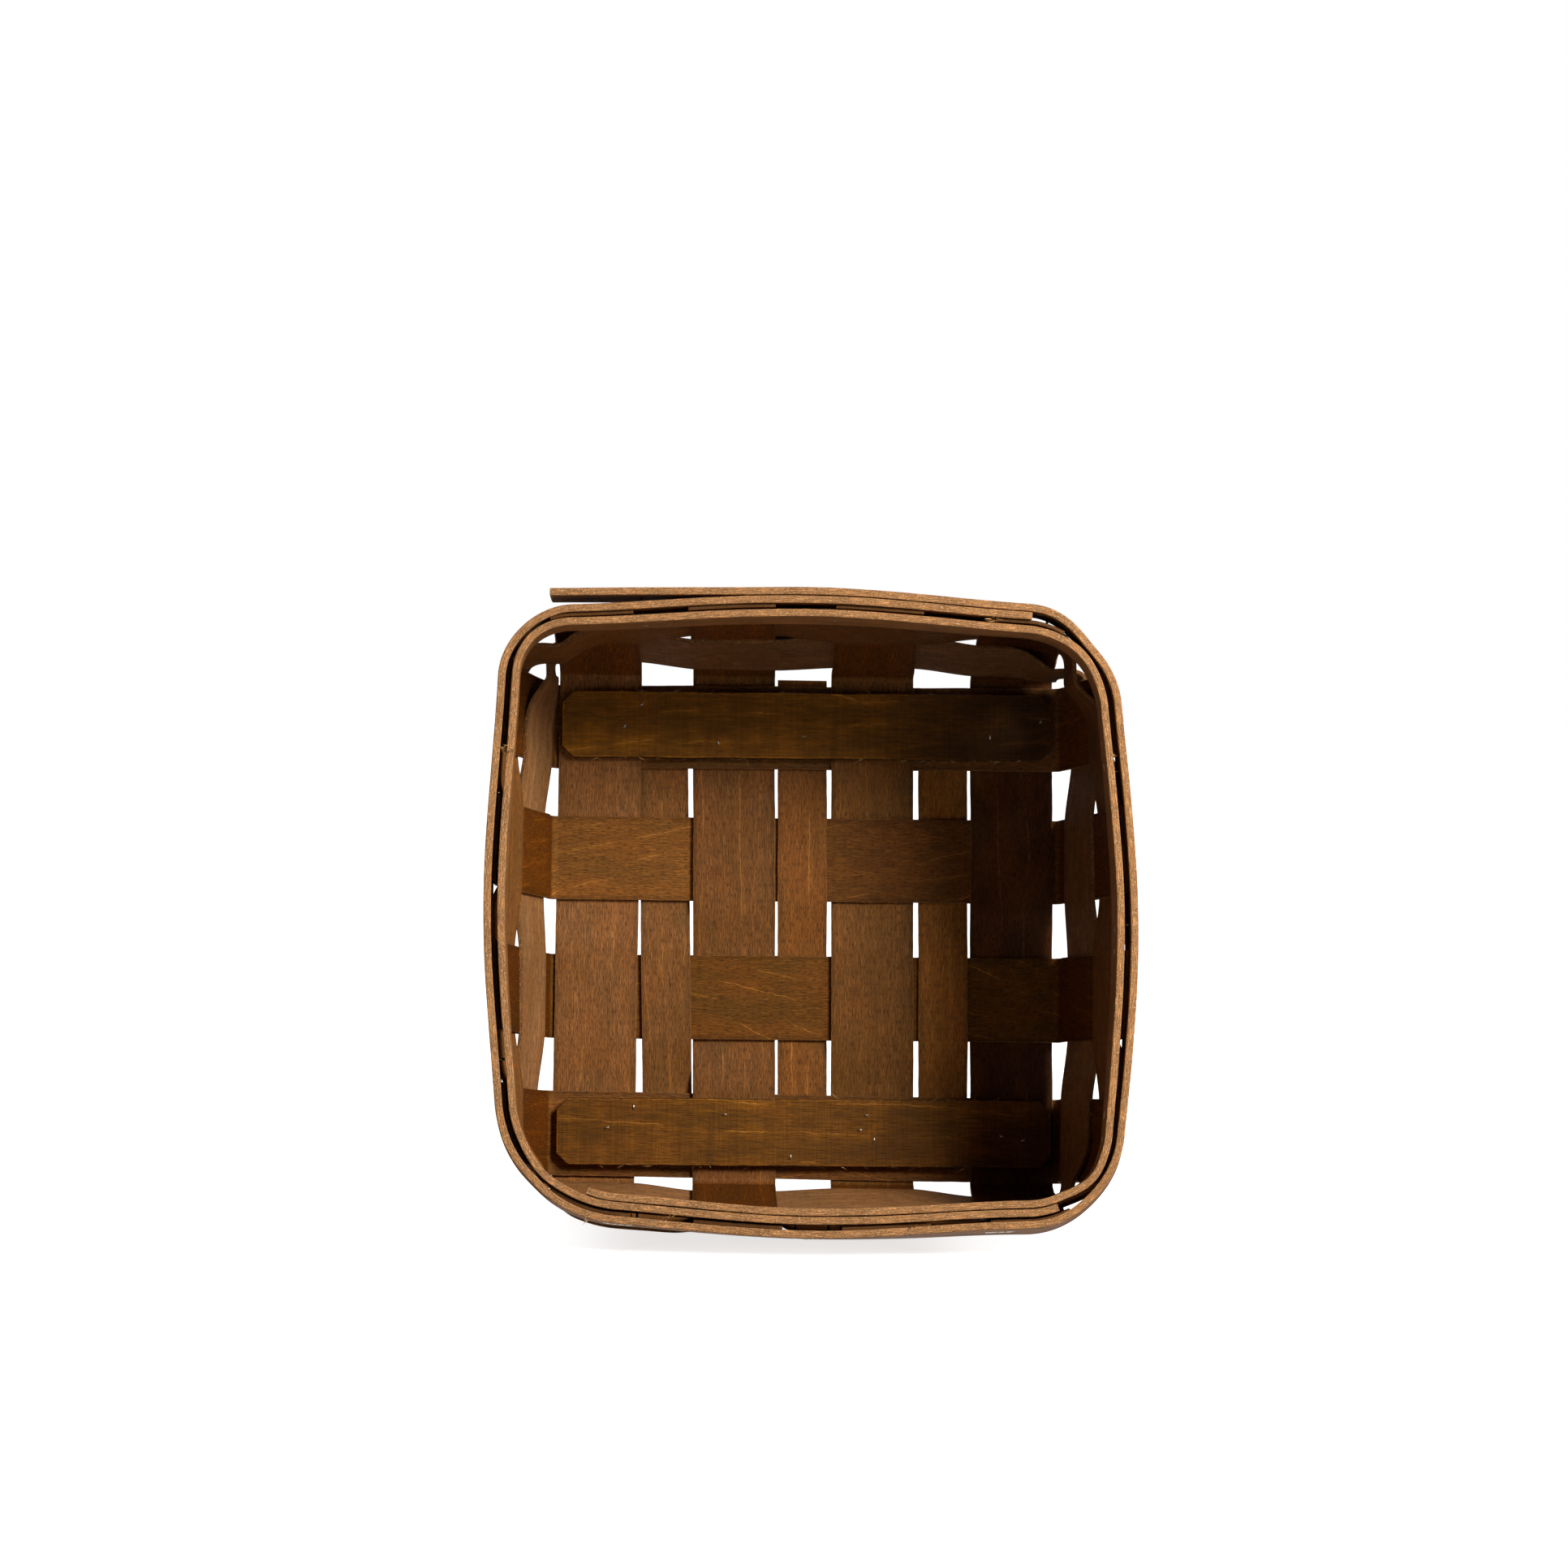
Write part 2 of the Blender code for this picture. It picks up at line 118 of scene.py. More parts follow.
# How the bands run
RIM_SLACK = 0.3 * MM           # between a band and the tips that it clasps
TIP_LEAN = 0.26 * MM           # the tips lean on the outer band
CORNER_PINCH = 0.45 * MM       # how far each band closes in on the other round a corner
LAP_AIR = 0.3 * MM             # between a band and its own lap
LAP_BLENDS = (22.0 * MM, 21.0 * MM)    # along which the outer and inner band come back from their laps
LOW_EDGE_OUT = 1.1 * MM        # how much further out the outer band's lower edge stands, front and right
LOW_EDGE_AT = 0.42             # of a side past the middle of the front wall, where it does so most
LOW_EDGE_REACH = 1.4           # in thirds of a side from there

# Runners
RUNNER_LENGTH = 151.5 * MM
RUNNER_WIDTH = 20.6 * MM
RUNNER_THICKNESS = 2.6 * MM
RUNNER_CLIP = 3.5 * MM

# Worked out from the sizes above
PITCH = STRIP_WIDTH + FILLER_WIDTH + 2 * SLOT
LINES = [(index - (STRIPS_EACH_WAY - 1) / 2) * PITCH for index in range(STRIPS_EACH_WAY)]
FROM_FRONT = range(STRIPS_EACH_WAY)[::-1]      # the cross splints in the order of their lines
FILLER_LINES = [(a + b) / 2 for a, b in zip(LINES, LINES[1:])]
BASE_HALF = LINES[-1] + STRIP_WIDTH / 2
LAYER = VENEER + TOUCH
CROSS_STEP = CROSS_SHARE * LAYER
LENGTH_STEP = LAYER - CROSS_STEP
FILLER_STEP = (VENEER + FILLER_THICKNESS) / 2 + TOUCH
BAND_STEP = (VENEER + BAND_THICKNESS) / 2 + RIM_SLACK
BAND_LAP_STEP = BAND_THICKNESS + LAP_AIR
FOLD_HALF = BASE_HALF - FOLD_LEAD
FOLD_LENGTH = FOLD_RADIUS * (math.pi / 2 - FOOT_FLARE)
FOOT_HALF = FOLD_HALF + FOLD_RADIUS * (1 - math.sin(FOOT_FLARE)) / math.cos(FOOT_FLARE)
LOWER_WEAVER = (FOOT_GAP, FOOT_GAP + STRIP_WIDTH)
UPPER_WEAVER = (LOWER_WEAVER[1] + WEAVER_GAP, LOWER_WEAVER[1] + WEAVER_GAP + STRIP_WIDTH)
BANDS = (UPPER_WEAVER[1] + RIM_GAP, UPPER_WEAVER[1] + RIM_GAP + BAND_HEIGHT)
SHOULDER = (UPPER_WEAVER[1] - SHOULDER_LEAD, UPPER_WEAVER[1] - SHOULDER_LEAD + SHOULDER_LENGTH)
WALL_ARCS = ((LOWER_WEAVER[0], SHOULDER[0], FOOT_FLARE, TOP_FLARE), (*SHOULDER, TOP_FLARE, -LEAN))
CORNER_RUN = PITCH - STRIP_WIDTH
SIDE_RUN = 2 * BASE_HALF + CORNER_RUN
ONCE_ROUND = 4 * SIDE_RUN
LOW_EDGE_THIRD = SIDE_RUN / 3
SIDES = (
    (Vector((1, 0, 0)), Vector((0, -1, 0))),
    (Vector((0, 1, 0)), Vector((1, 0, 0))),
    (Vector((-1, 0, 0)), Vector((0, 1, 0))),
    (Vector((0, -1, 0)), Vector((-1, 0, 0))),
)
FRONT, RIGHT, BACK, LEFT = range(len(SIDES))
BASE_FACE = LENGTH_STEP + VENEER / 2 + TOUCH
GROUND_DEPTH = VENEER * 3 / 2 + 2 * PACKED_AIR + RUNNER_THICKNESS
BASE_PLACE = Vector((0, -(BAND_THICKNESS + PACKED_AIR) / 2, GROUND_DEPTH))


# Shape of the basket

def ease(share):
    share = min(max(share, 0), 1)
    return share * share * (3 - 2 * share)


def mix(a, b, share):
    return a + (b - a) * share


def wall_profile(up):
    """Half the width across the wall's middle surface, and its height, at a distance up the slope."""
    straight = min(up, LOWER_WEAVER[0])
    half = FOOT_HALF + straight * math.sin(FOOT_FLARE)
    height = straight * math.cos(FOOT_FLARE)
    for low, high, flare, next_flare in WALL_ARCS:
        radius = (high - low) / (flare - next_flare)
        angle = flare - min(max(up - low, 0), high - low) / radius
        half += radius * (math.cos(angle) - math.cos(flare))
        height += radius * (math.sin(flare) - math.sin(angle))
    above = max(up - SHOULDER[1], 0)
    return half - above * math.sin(LEAN), height + above * math.cos(LEAN)


LOW_EDGE = wall_profile(LOWER_WEAVER[0])
HIGH_EDGE = wall_profile(SHOULDER[1])


def height_share(height):
    """0 at the lower edge of the lower weaver, 1 from the top of the shoulder up."""
    return min(max((height - LOW_EDGE[1]) / (HIGH_EDGE[1] - LOW_EDGE[1]), 0), 1)


def corner_radius(height, corner):
    """At this height, for the corner that follows a side of this number."""
    foot_radius = LOW_EDGE[0] - BASE_HALF - CORNER_FLAT
    woven = mix(foot_radius, WALL_CORNER_RADIUS, height_share(height) ** CORNER_GROWTH_POWER)
    low, high = RIM_CORNERS_FROM
    return mix(woven, RIM_CORNER_RADII[corner % len(SIDES)], ease((height - low) / (high - low)))


def corner_place(half, radius, share):
    """Along and across a side, and the turn of the normal, at a share of the way round its corner."""
    flat = max(half - radius - BASE_HALF, 0)
    first = math.asin(max(BASE_HALF - half + radius, 0) / radius)
    arc = radius * (math.pi / 2 - 2 * first)
    walked = share * (2 * flat + arc)
    turn = first + min(max(walked - flat, 0), arc) / radius
    before = max(flat - walked, 0)
    after = max(walked - flat - arc, 0)
    along = half - radius + radius * math.sin(turn) - before
    across = half - radius + radius * math.cos(turn) - after
    if walked <= flat:
        turn = 0
    if walked >= flat + arc and flat > 0:
        turn = math.pi / 2
    return along, across, turn


def side_place(half, radius, along):
    past = max(abs(along) - (half - radius), 0) if half - radius < BASE_HALF else 0
    turn = math.copysign(math.asin(past / radius), along)
    return along, half - radius + radius * math.cos(turn), turn


def nearest_corner(girth):
    """The number of the side that this corner ends, and the girth at the corner's middle."""
    corner = round((girth - SIDE_RUN / 2) / SIDE_RUN)
    return corner, (corner + 0.5) * SIDE_RUN


def wall_point(girth, up, offset):
    """A point of the wall: so far round the girth and up the slope, and so far outside its middle surface."""
    half, height = wall_profile(up)
    side = math.floor(girth / SIDE_RUN + 0.5)
    along = girth - side * SIDE_RUN
    radius = corner_radius(height, side if along > 0 else side - 1)
    bow_reach = half - radius * (1 - math.cos(math.pi / 4))
    if abs(along) <= BASE_HALF:
        place = side_place(half, radius, along)
        bow_share = abs(along) / bow_reach
    else:
        share = (along - BASE_HALF) / CORNER_RUN
        if along < 0:
            side -= 1
            share = (along + BASE_HALF) / CORNER_RUN + 1
        place = corner_place(half, radius, share)
        bow_share = mix(BASE_HALF / bow_reach, 1, 1 - abs(2 * share - 1))
    risen = height_share(height)
    bow = RIM_BOW * risen ** 2 * (1 - math.cos(math.pi * bow_share)) / 2
    onward, outward = SIDES[side % len(SIDES)]
    along, across, turn = place
    normal = onward * math.sin(turn) + outward * math.cos(turn)
    square = onward * along + outward * across + normal * (offset - bow) + Vector((0, 0, height))
    pulled = Vector((STRETCH_X * square.x + RACK_X * square.y, RACK_Y * square.x + STRETCH_Y * square.y, 0))
    corner, middle = nearest_corner(girth)
    pull = Vector((*CORNER_PULLS[corner % len(SIDES)], 0)) * ease(1 - abs(girth - middle) / PULL_REACH)
    return square + (pulled + RIM_SHIFT + pull) * risen


def upright_middle(count):
    """The girth at the middle of an upright, counted on from the first of the front wall."""
    side, index = divmod(count, STRIPS_EACH_WAY)
    return side * SIDE_RUN + LINES[index]


# Strips of veneer, each one closed body swept along its length

FINE_STEP = 1.2 * MM           # between the rings of points along a strip
BAND_STEP_LENGTH = 0.8 * MM
FOLD_STEP = 0.45 * MM
FOLD_MARGIN = 2 * MM           # of such fine steps before and after a fold
END_BEVEL = 0.25 * MM
FACE_COLUMNS = 9               # points across each face of a strip
ROUND_POINTS = 3               # points round each long corner of its section
STRAY_WAVE, STRAY_RIPPLE = 17 * MM, 4 * MM                 # along a cut that wanders
BILLOW_LENGTH, BILLOW_WIDTH = 24 * MM, 13 * MM             # of the swellings of a face
TEAR = (1.6 * MM, 0.7 * MM)    # length and height of the small tears in a cut edge
LONG_TEAR = (4.5 * MM, 1.5 * MM)


def noise_at(x, y, seed):
    return noise.noise(Vector((x, y, seed * 7.31)))


def unit(vectors):
    return vectors / np.maximum(np.linalg.norm(vectors, axis=-1, keepdims=True), 1e-12)


def stations_between(start, end, step, fine_spots=()):
    """Places along a strip from end to end, closer together inside the fine spots."""
    found = [start, start + END_BEVEL]
    while found[-1] < end - END_BEVEL:
        here = found[-1]
        fine = any(low <= here <= high for low, high in fine_spots)
        found.append(here + (FOLD_STEP if fine else step))
    while found[-1] > end - 2 * END_BEVEL:
        found.pop()
    return found + [end - END_BEVEL, end]


def face_columns(half, corner):
    """Places across a strip: its face, with a narrow column beside each corner."""
    flat = half - corner
    inner = flat - 2 * corner
    return [-flat] + [mix(-inner, inner, k / (FACE_COLUMNS - 1)) for k in range(FACE_COLUMNS)] + [flat]


def edge_points(thickness, corner, across_count):
    """The cut edge of a strip from its upper face to its lower one: (past the face, height)."""
    level = thickness / 2 - corner
    turn = [math.pi / 2 * step / ROUND_POINTS for step in range(1, ROUND_POINTS + 1)]
    upper = [(corner * math.sin(angle), level + corner * math.cos(angle)) for angle in turn]
    middle = [(corner, mix(level, -level, step / across_count)) for step in range(1, across_count)]
    return upper + middle + [(past, -height) for past, height in upper[::-1]]


def strip_body(name, place, stations, width, thickness, seed, corner=0.14 * MM, edge_count=2,
               stray=0.12 * MM, rough=0.04 * MM, billow=0.08 * MM, narrower=None):
    """A closed strip. place(s, c) is a point of its middle surface, s along it and c across.

    stray is how far its long edges wander, rough how ragged they are cut, billow how far
    its faces swell, and narrower(s) how much is cut off each side there.
    """
    half = width / 2
    columns = face_columns(half, corner)
    last = len(columns) - 1
    across = np.zeros((len(stations), len(columns)))
    middle = np.zeros((*across.shape, 3))
    swell = np.zeros_like(across)
    for row, s in enumerate(stations):
        cut = narrower(s) if narrower else 0
        left, right = (
            stray * (noise_at(s / STRAY_WAVE, side, seed) + 0.4 * noise_at(s / STRAY_RIPPLE, side, seed + 3))
            for side in (1.7, 5.9)
        )
        for k, c in enumerate(columns):
            across[row, k] = c + mix(left + cut, right - cut, (c / half + 1) / 2)
            middle[row, k] = place(s, across[row, k])
            swell[row, k] = billow * noise_at(s / BILLOW_LENGTH, c / BILLOW_WIDTH, seed + 11)
    tangent = unit(np.gradient(middle, axis=1))
    normal = unit(np.cross(tangent, np.gradient(middle, axis=0)))
    thin = np.ones(len(stations))
    thin[[0, -1]] = 1 - END_BEVEL / thickness
    cut_edge = edge_points(thickness, corner, edge_count)
    around = [(k, 0, thickness / 2) for k in range(last + 1)]
    around += [(last, past, height) for past, height in cut_edge]
    around += [(k, 0, -thickness / 2) for k in range(last, -1, -1)]
    around += [(0, -past, -height) for past, height in cut_edge]
    points = np.zeros((len(stations), len(around), 3))
    for j, (k, past, height) in enumerate(around):
        ragged = np.zeros(len(stations))
        if past:
            ragged = np.array([
                noise_at(s / TEAR[0], height / TEAR[1] + k, seed + 5)
                + 0.7 * noise_at(s / LONG_TEAR[0], height / LONG_TEAR[1] + k, seed + 8) for s in stations
            ]) * rough * math.copysign(1, past)
        points[:, j] = middle[:, k] + tangent[:, k] * (past + ragged)[:, None]
        points[:, j] += normal[:, k] * (height * thin + swell[:, k])[:, None]
    mesh = closed_sweep(name, points, last, len(cut_edge))
    lay_coordinates(mesh, stations, across, around, half, seed)
    return add_piece(name, mesh)


def closed_sweep(name, points, last, edge_count):
    """Faces over the rings of points and over both ends: slot 0 on the faces, slot 1 on what is cut."""
    rows, size = points.shape[:2]
    ring = np.arange(size)
    following = (ring + 1) % size
    corner = (np.arange(rows - 1) * size)[:, None]
    here, beside = corner + ring, corner + following
    quads = np.stack([here, beside, beside + size, here + size], axis=2)
    faces = [tuple(quad) for quad in quads.reshape(-1, 4).tolist()]
    on_face = (ring < last) | ((ring > last + edge_count) & (ring < 2 * last + edge_count + 1))
    slots = np.tile(np.where(on_face, 0, 1), rows - 1).tolist()
    under = 2 * last + edge_count + 1
    end = [(k, k + 1, under - k - 1, under - k) for k in range(last)]
    end.append(tuple(range(last, last + edge_count + 2)))
    end.append((*range(under, size), 0))
    top = (rows - 1) * size
    for loop in end:
        faces.append(loop[::-1])
        faces.append(tuple(top + index for index in loop))
        slots += [1, 1]
    mesh = bpy.data.meshes.new(name)
    mesh.from_pydata(points.reshape(-1, 3).tolist(), [], faces)
    mesh.polygons.foreach_set("material_index", slots)
    mesh.polygons.foreach_set("use_smooth", [True] * len(faces))
    return mesh


def lay_coordinates(mesh, stations, across, around, half, seed):
    """UV maps in millimetres: "grain" runs along and round the strip, "edges" is how far in from its
    long edge and from its end a point lies."""
    size = len(around)
    nominal = np.array([0] + [math.hypot(b[1] - a[1], b[2] - a[2]) for a, b in zip(around, around[1:])])
    columns = np.array([k for k, past, height in around])
    upper = np.array([height > 0 for k, past, height in around])
    past = np.array([past for k, past, height in around])
    edge_length = nominal.sum()
    walked = np.cumsum(nominal)
    place = across[:, columns]
    on_edge = past != 0
    round_way = np.where(upper, place, 2 * half + edge_length / 2 - place)
    round_way = np.where(on_edge, np.where(past > 0, half, 3 * half) + walked, round_way)
    loops = np.zeros(len(mesh.loops), int)
    mesh.loops.foreach_get("vertex_index", loops)
    row, j = loops // size, loops % size
    way = round_way[row, j]
    face_of = np.repeat(np.arange(len(mesh.polygons)), [len(f.vertices) for f in mesh.polygons])
    full = (len(stations) - 1) * size
    closing = (face_of < full) & (face_of % size == size - 1) & (j == 0)
    way = np.where(closing, 3 * half + edge_length, way)
    s = np.array(stations)
    grain = np.stack([s[row] / MM + 37 * seed, way / MM], axis=1)
    from_edge = np.where(on_edge[j], 0, half - np.abs(place[row, j]))
    from_end = np.minimum(s - s[0], s[-1] - s)[row]
    for label, values in (("grain", grain), ("edges", np.stack([from_edge, from_end], axis=1) / MM)):
        mesh.uv_layers.new(name=label).data.foreach_set("uv", values.ravel())


def add_object(name, data):
    made = bpy.data.objects.new(name, data)
    bpy.context.scene.collection.objects.link(made)
    return made


def add_piece(name, mesh):
    made = add_object(name, mesh)
    made.location = BASE_PLACE
    return made


# Where each strip runs

# How each strip was laid by hand, as the photograph shows: millimetres aside at the two edges of the base
LENGTH_SPLINT_LAY = ((-0.7, -0.1), (0.05, -1.4), (-0.1, -1.0), (0.1, -0.3))
CROSS_SPLINT_LAY = ((-1.1, -1.5), (0.25, 0.2), (0.0, 0.05), (-0.8, 0.5))
FILLER_LAY = ((1.1, -2.25), (-0.3, -1.5), (0.4, -0.3))
RUNNER_LAY = ((-1.1, -0.9), (1.1, 1.3))
UPPER_WEAVER_REACH = 1.6 * MM  # it fills most of the gap below the bands
OUTER_BAND_STRAIGHT = 67.0 * MM    # the last of its free end runs straight and stands off


def goes_over(length_index, cross_index):
    """Whether the splint along Y passes above the splint along X."""
    return (length_index + cross_index) % 2 == 0


def woven_height(distance, heights):
    """The height of a strip this far from the middle of the base, from its heights at the four crossings."""
    for index, line in enumerate(LINES[:-1]):
        near, far = line + STRIP_WIDTH / 2, LINES[index + 1] - STRIP_WIDTH / 2
        if distance < far:
            return mix(heights[index], heights[index + 1], ease((distance - near) / (far - near)))
    return heights[-1]


def length_height(index, distance):
    steps = [LENGTH_STEP if goes_over(index, cross) else -LENGTH_STEP for cross in FROM_FRONT]
    return woven_height(distance, steps)


def cross_height(index, distance):
    steps = [-CROSS_STEP if goes_over(line, index) else CROSS_STEP for line in range(STRIPS_EACH_WAY)]
    return woven_height(distance, steps)


def aside(lay, distance):
    """How far a strip was laid beside its line: lay is its two values at the edges of the base."""
    share = (min(max(distance, -BASE_HALF), BASE_HALF) / BASE_HALF + 1) / 2
    return mix(lay[0], lay[1], share) * MM


def upright_give(count, up):
    """How far outside the wall's middle an upright is pushed: away from each weaver at its level."""
    inner = count % STRIPS_EACH_WAY in (1, 2)
    give = INNER_UPRIGHT_GIVE if inner else OUTER_UPRIGHT_GIVE
    low = give if count % 2 == 0 else -give
    turn = (LOWER_WEAVER[1] + UPPER_WEAVER[0]) / 2
    level = mix(low, -low, ease((up - turn + GIVE_TURN) / (2 * GIVE_TURN)))
    level *= ease((up - GIVE_FROM) / GIVE_OVER)
    return mix(level, TIP_LEAN, ease((up - UPPER_WEAVER[1] + TIP_TURN / 2) / TIP_TURN))


def splint_place(along, near, far, line, height_at, lay):
    """place(s, c) of a splint: up the near wall, across the base and up the far wall.

    near and far are each the side and the count of the upright that the splint becomes there.
    """
    across = SIDES[near[0]][0]
    far_sign = round(across.dot(SIDES[far[0]][0]))
    ends = {-1: (*near, 1), 1: (*far, far_sign)}

    def place(s, c):
        side, count, sign = ends[1 if s > 0 else -1]
        outward = SIDES[side][1]
        beside = line + c + aside(lay, s)
        base_height = height_at(math.copysign(BASE_HALF, s))
        start = fold_start(base_height)
        past = abs(s) - start
        if past <= 0:
            return along * s + across * beside + Vector((0, 0, height_at(s)))
        if past < FOLD_LENGTH:
            angle = past / FOLD_RADIUS
            reach = start + FOLD_RADIUS * math.sin(angle)
            height = base_height + FOLD_RADIUS * (1 - math.cos(angle))
            return outward * reach + across * beside + Vector((0, 0, height))
        up = fold_top(base_height) + past - FOLD_LENGTH
        return wall_point(side * SIDE_RUN + sign * beside, up, upright_give(count, up))

    return place


def fold_start(base_height):
    """How far from the middle of the base a splint begins to turn up."""
    return FOLD_HALF + base_height * math.tan(FOOT_FLARE)


def fold_top(base_height):
    """How far up the slope it has turned into the wall."""
    return (base_height + FOLD_RADIUS * (1 - math.sin(FOOT_FLARE))) / math.cos(FOOT_FLARE)


def splint_stations(near_side, near_height, far_side, far_height):
    """Places along a splint from tip to tip, with the folds finely cut."""
    ends, folds = [], []
    for side, base_height in ((near_side, near_height), (far_side, far_height)):
        start = fold_start(base_height)
        ends.append(start + FOLD_LENGTH + BANDS[1] - TIP_DROPS[side] - fold_top(base_height))
        folds.append((start - FOLD_MARGIN, start + FOLD_LENGTH + FOLD_MARGIN))
    spots = [(-folds[0][1], -folds[0][0]), folds[1]]
    return stations_between(-ends[0], ends[1], FINE_STEP, spots)


def make_splint(kind, index):
    """A length splint starts in the front wall, counted from the left, a cross splint in the right
    wall, counted from the back."""
    mirrored = STRIPS_EACH_WAY - 1 - index
    if kind == "length":
        along, line, ends = Vector((0, 1, 0)), LINES[index], ((FRONT, index), (BACK, mirrored))
        width, lay, seed = STRIP_WIDTH, LENGTH_SPLINT_LAY[index], index + 1
    else:
        along, line, ends = Vector((-1, 0, 0)), LINES[mirrored], ((RIGHT, mirrored), (LEFT, index))
        width, lay, seed = CROSS_SPLINT_WIDTH, CROSS_SPLINT_LAY[index], index + 5

    def height_at(distance):
        return length_height(index, distance) if kind == "length" else cross_height(index, -distance)

    near, far = ((side, side * STRIPS_EACH_WAY + position) for side, position in ends)
    place = splint_place(along, near, far, line, height_at, lay)
    stations = splint_stations(near[0], height_at(-BASE_HALF), far[0], height_at(BASE_HALF))
    name = f"{kind}_splint_{index + 1}"
    return strip_body(name + "_veneer", place, stations, width, VENEER, seed), name


def make_filler(index):
    """It lies below the outer cross splints, passes the inner ones by turns, and tilts with each."""
    name = f"filler_slat_{index + 1}"
    signs = [1 if cross in (1, 2) and goes_over(index, cross) else -1 for cross in FROM_FRONT]
    shift = MIDDLE_FILLER_SHIFT if index == len(FILLER_LINES) // 2 else 0

    def place(s, c):
        beside = FILLER_LINES[index] + c + aside(FILLER_LAY[index], s)
        heights = [
            sign * FILLER_STEP + cross_height(cross, beside) for sign, cross in zip(signs, FROM_FRONT)
        ]
        return Vector((beside, s, woven_height(s, heights)))

    stations = stations_between(shift - FILLER_LENGTH / 2, shift + FILLER_LENGTH / 2, FINE_STEP)
    return strip_body(name + "_veneer", place, stations, FILLER_WIDTH, FILLER_THICKNESS, seed=index + 9), name


def corner_cut(girth, up, first_outside):
    """How far inside a weaver cuts a corner: most beside the upright that it passes inside."""
    corner, middle = nearest_corner(girth)
    passed_inside_before = (corner * STRIPS_EACH_WAY + STRIPS_EACH_WAY - 1) % 2 != first_outside
    beyond = (girth - middle) * (1 if passed_inside_before else -1) + CORNER_RUN / 2
    rising = ease(beyond / (STRIP_WIDTH * CUT_REACH) + 1)
    falling = 1 - ease(beyond / CORNER_RUN)
    level = (up - LOWER_WEAVER[0]) / (BANDS[0] - LOWER_WEAVER[0])
    return CORNER_CUTS[corner % len(SIDES)] * mix(CUT_AT_FOOT, 1, level) * rising * falling


def weaver_offset(girth, up, first_outside, start, start_count, slack):
    """How far outside the wall's middle a weaver runs: it lies on each upright, out and in by turns,
    and over its own start, where it may stand off with some slack. Below the bands its upper edge
    keeps out until shortly before the next upright that it passes inside."""
    tail_count = start_count + 4 * STRIPS_EACH_WAY

    def at_upright(count, lap=1):
        give = upright_give(count, up)
        if count >= tail_count:
            return give + LAYER * (1 + (lap if count == tail_count else 0))
        return give + (LAYER if count % 2 == first_outside else -LAYER)

    count = 0
    while upright_middle(count) + STRIP_WIDTH / 2 < girth:
        count += 1
    near_edge = upright_middle(count) - STRIP_WIDTH / 2
    tail_edge = upright_middle(tail_count) - STRIP_WIDTH / 2
    loose = slack * ease((girth - tail_edge) / STRIP_WIDTH)
    if girth < near_edge:
        last_edge = upright_middle(count - 1) + STRIP_WIDTH / 2
        share = (girth - last_edge) / (near_edge - last_edge)
        share = mix(share, ease(share), TURN_SOFTNESS)
        if count % STRIPS_EACH_WAY:
            kept_out = share ** KEPT_OUT if count % 2 != first_outside else 1 - (1 - share) ** KEPT_OUT
            share = mix(share, kept_out, ease((up - BANDS[0]) / KEPT_OUT_RISE + KEPT_OUT_START))
        offset = mix(at_upright(count - 1), at_upright(count, lap=0), share)
    elif count == tail_count:
        lap_start = start + ONCE_ROUND - VENEER
        offset = at_upright(count, ease((girth - near_edge) / (lap_start - near_edge)))
    else:
        offset = at_upright(count)
    return offset + loose - corner_cut(girth, up, first_outside)


def make_weaver(name, edges, first_outside, start_count, seed, slack=0):
    start = upright_middle(start_count) - WEAVER_START_BACK
    end = upright_middle(start_count + 4 * STRIPS_EACH_WAY + 1) - WEAVER_END_BACK

    def place(s, c):
        up = sum(edges) / 2 + c
        return wall_point(s, up, weaver_offset(s, up, first_outside, start, start_count, slack))

    stations = stations_between(start, end, FINE_STEP)
    return strip_body(name + "_veneer", place, stations, edges[1] - edges[0], VENEER, seed), name


def band_step(girth):
    """From the wall's middle to the middle of a band: less round a corner, where there are no tips."""
    beyond = abs(girth - nearest_corner(girth)[1])
    return BAND_STEP - CORNER_PINCH * ease(1 - beyond / CORNER_RUN)


def make_outer_band():
    start = BACK * SIDE_RUN - OUTER_BAND_TUCK
    end = BACK * SIDE_RUN + ONCE_ROUND + OUTER_BAND_FREE
    over = start + ONCE_ROUND - BAND_THICKNESS
    leave = over - LAP_BLENDS[0]
    straight_from = end - OUTER_BAND_STRAIGHT
    low_middle = FRONT * SIDE_RUN + ONCE_ROUND + SIDE_RUN * LOW_EDGE_AT

    def place(s, c):
        on_wall = min(s, straight_from)
        offset = band_step(on_wall) + BAND_LAP_STEP * ease((on_wall - leave) / (over - leave))
        beyond = abs(on_wall - low_middle) / LOW_EDGE_THIRD
        offset -= LOW_EDGE_OUT * ease(LOW_EDGE_REACH - beyond) * c / BAND_HEIGHT
        here = wall_point(on_wall, sum(BANDS) / 2 + c, offset)
        if s > straight_from:
            before = wall_point(on_wall - FINE_STEP, sum(BANDS) / 2 + c, offset)
            here += (here - before).normalized() * (s - straight_from)
        return here

    return make_band("outer_rim_band", place, start, end, seed=14)


def make_inner_band():
    start = FRONT * SIDE_RUN - INNER_BAND_FREE
    end = FRONT * SIDE_RUN + ONCE_ROUND + INNER_BAND_TUCK
    under = end - ONCE_ROUND + BAND_THICKNESS
    arrive = under + LAP_BLENDS[1]

    def place(s, c):
        offset = -band_step(s) - BAND_LAP_STEP * (1 - ease((s - under) / (arrive - under)))
        return wall_point(s, sum(BANDS) / 2 + c, offset)

    return make_band("inner_rim_band", place, start, end, seed=15)


def make_band(name, place, start, end, seed):
    stations = stations_between(start, end, BAND_STEP_LENGTH)
    made = strip_body(name + "_slat", place, stations, BAND_HEIGHT, BAND_THICKNESS, seed, corner=0.35 * MM,
                      edge_count=5, stray=0.25 * MM, rough=0.10 * MM, billow=0.10 * MM)
    return made, name


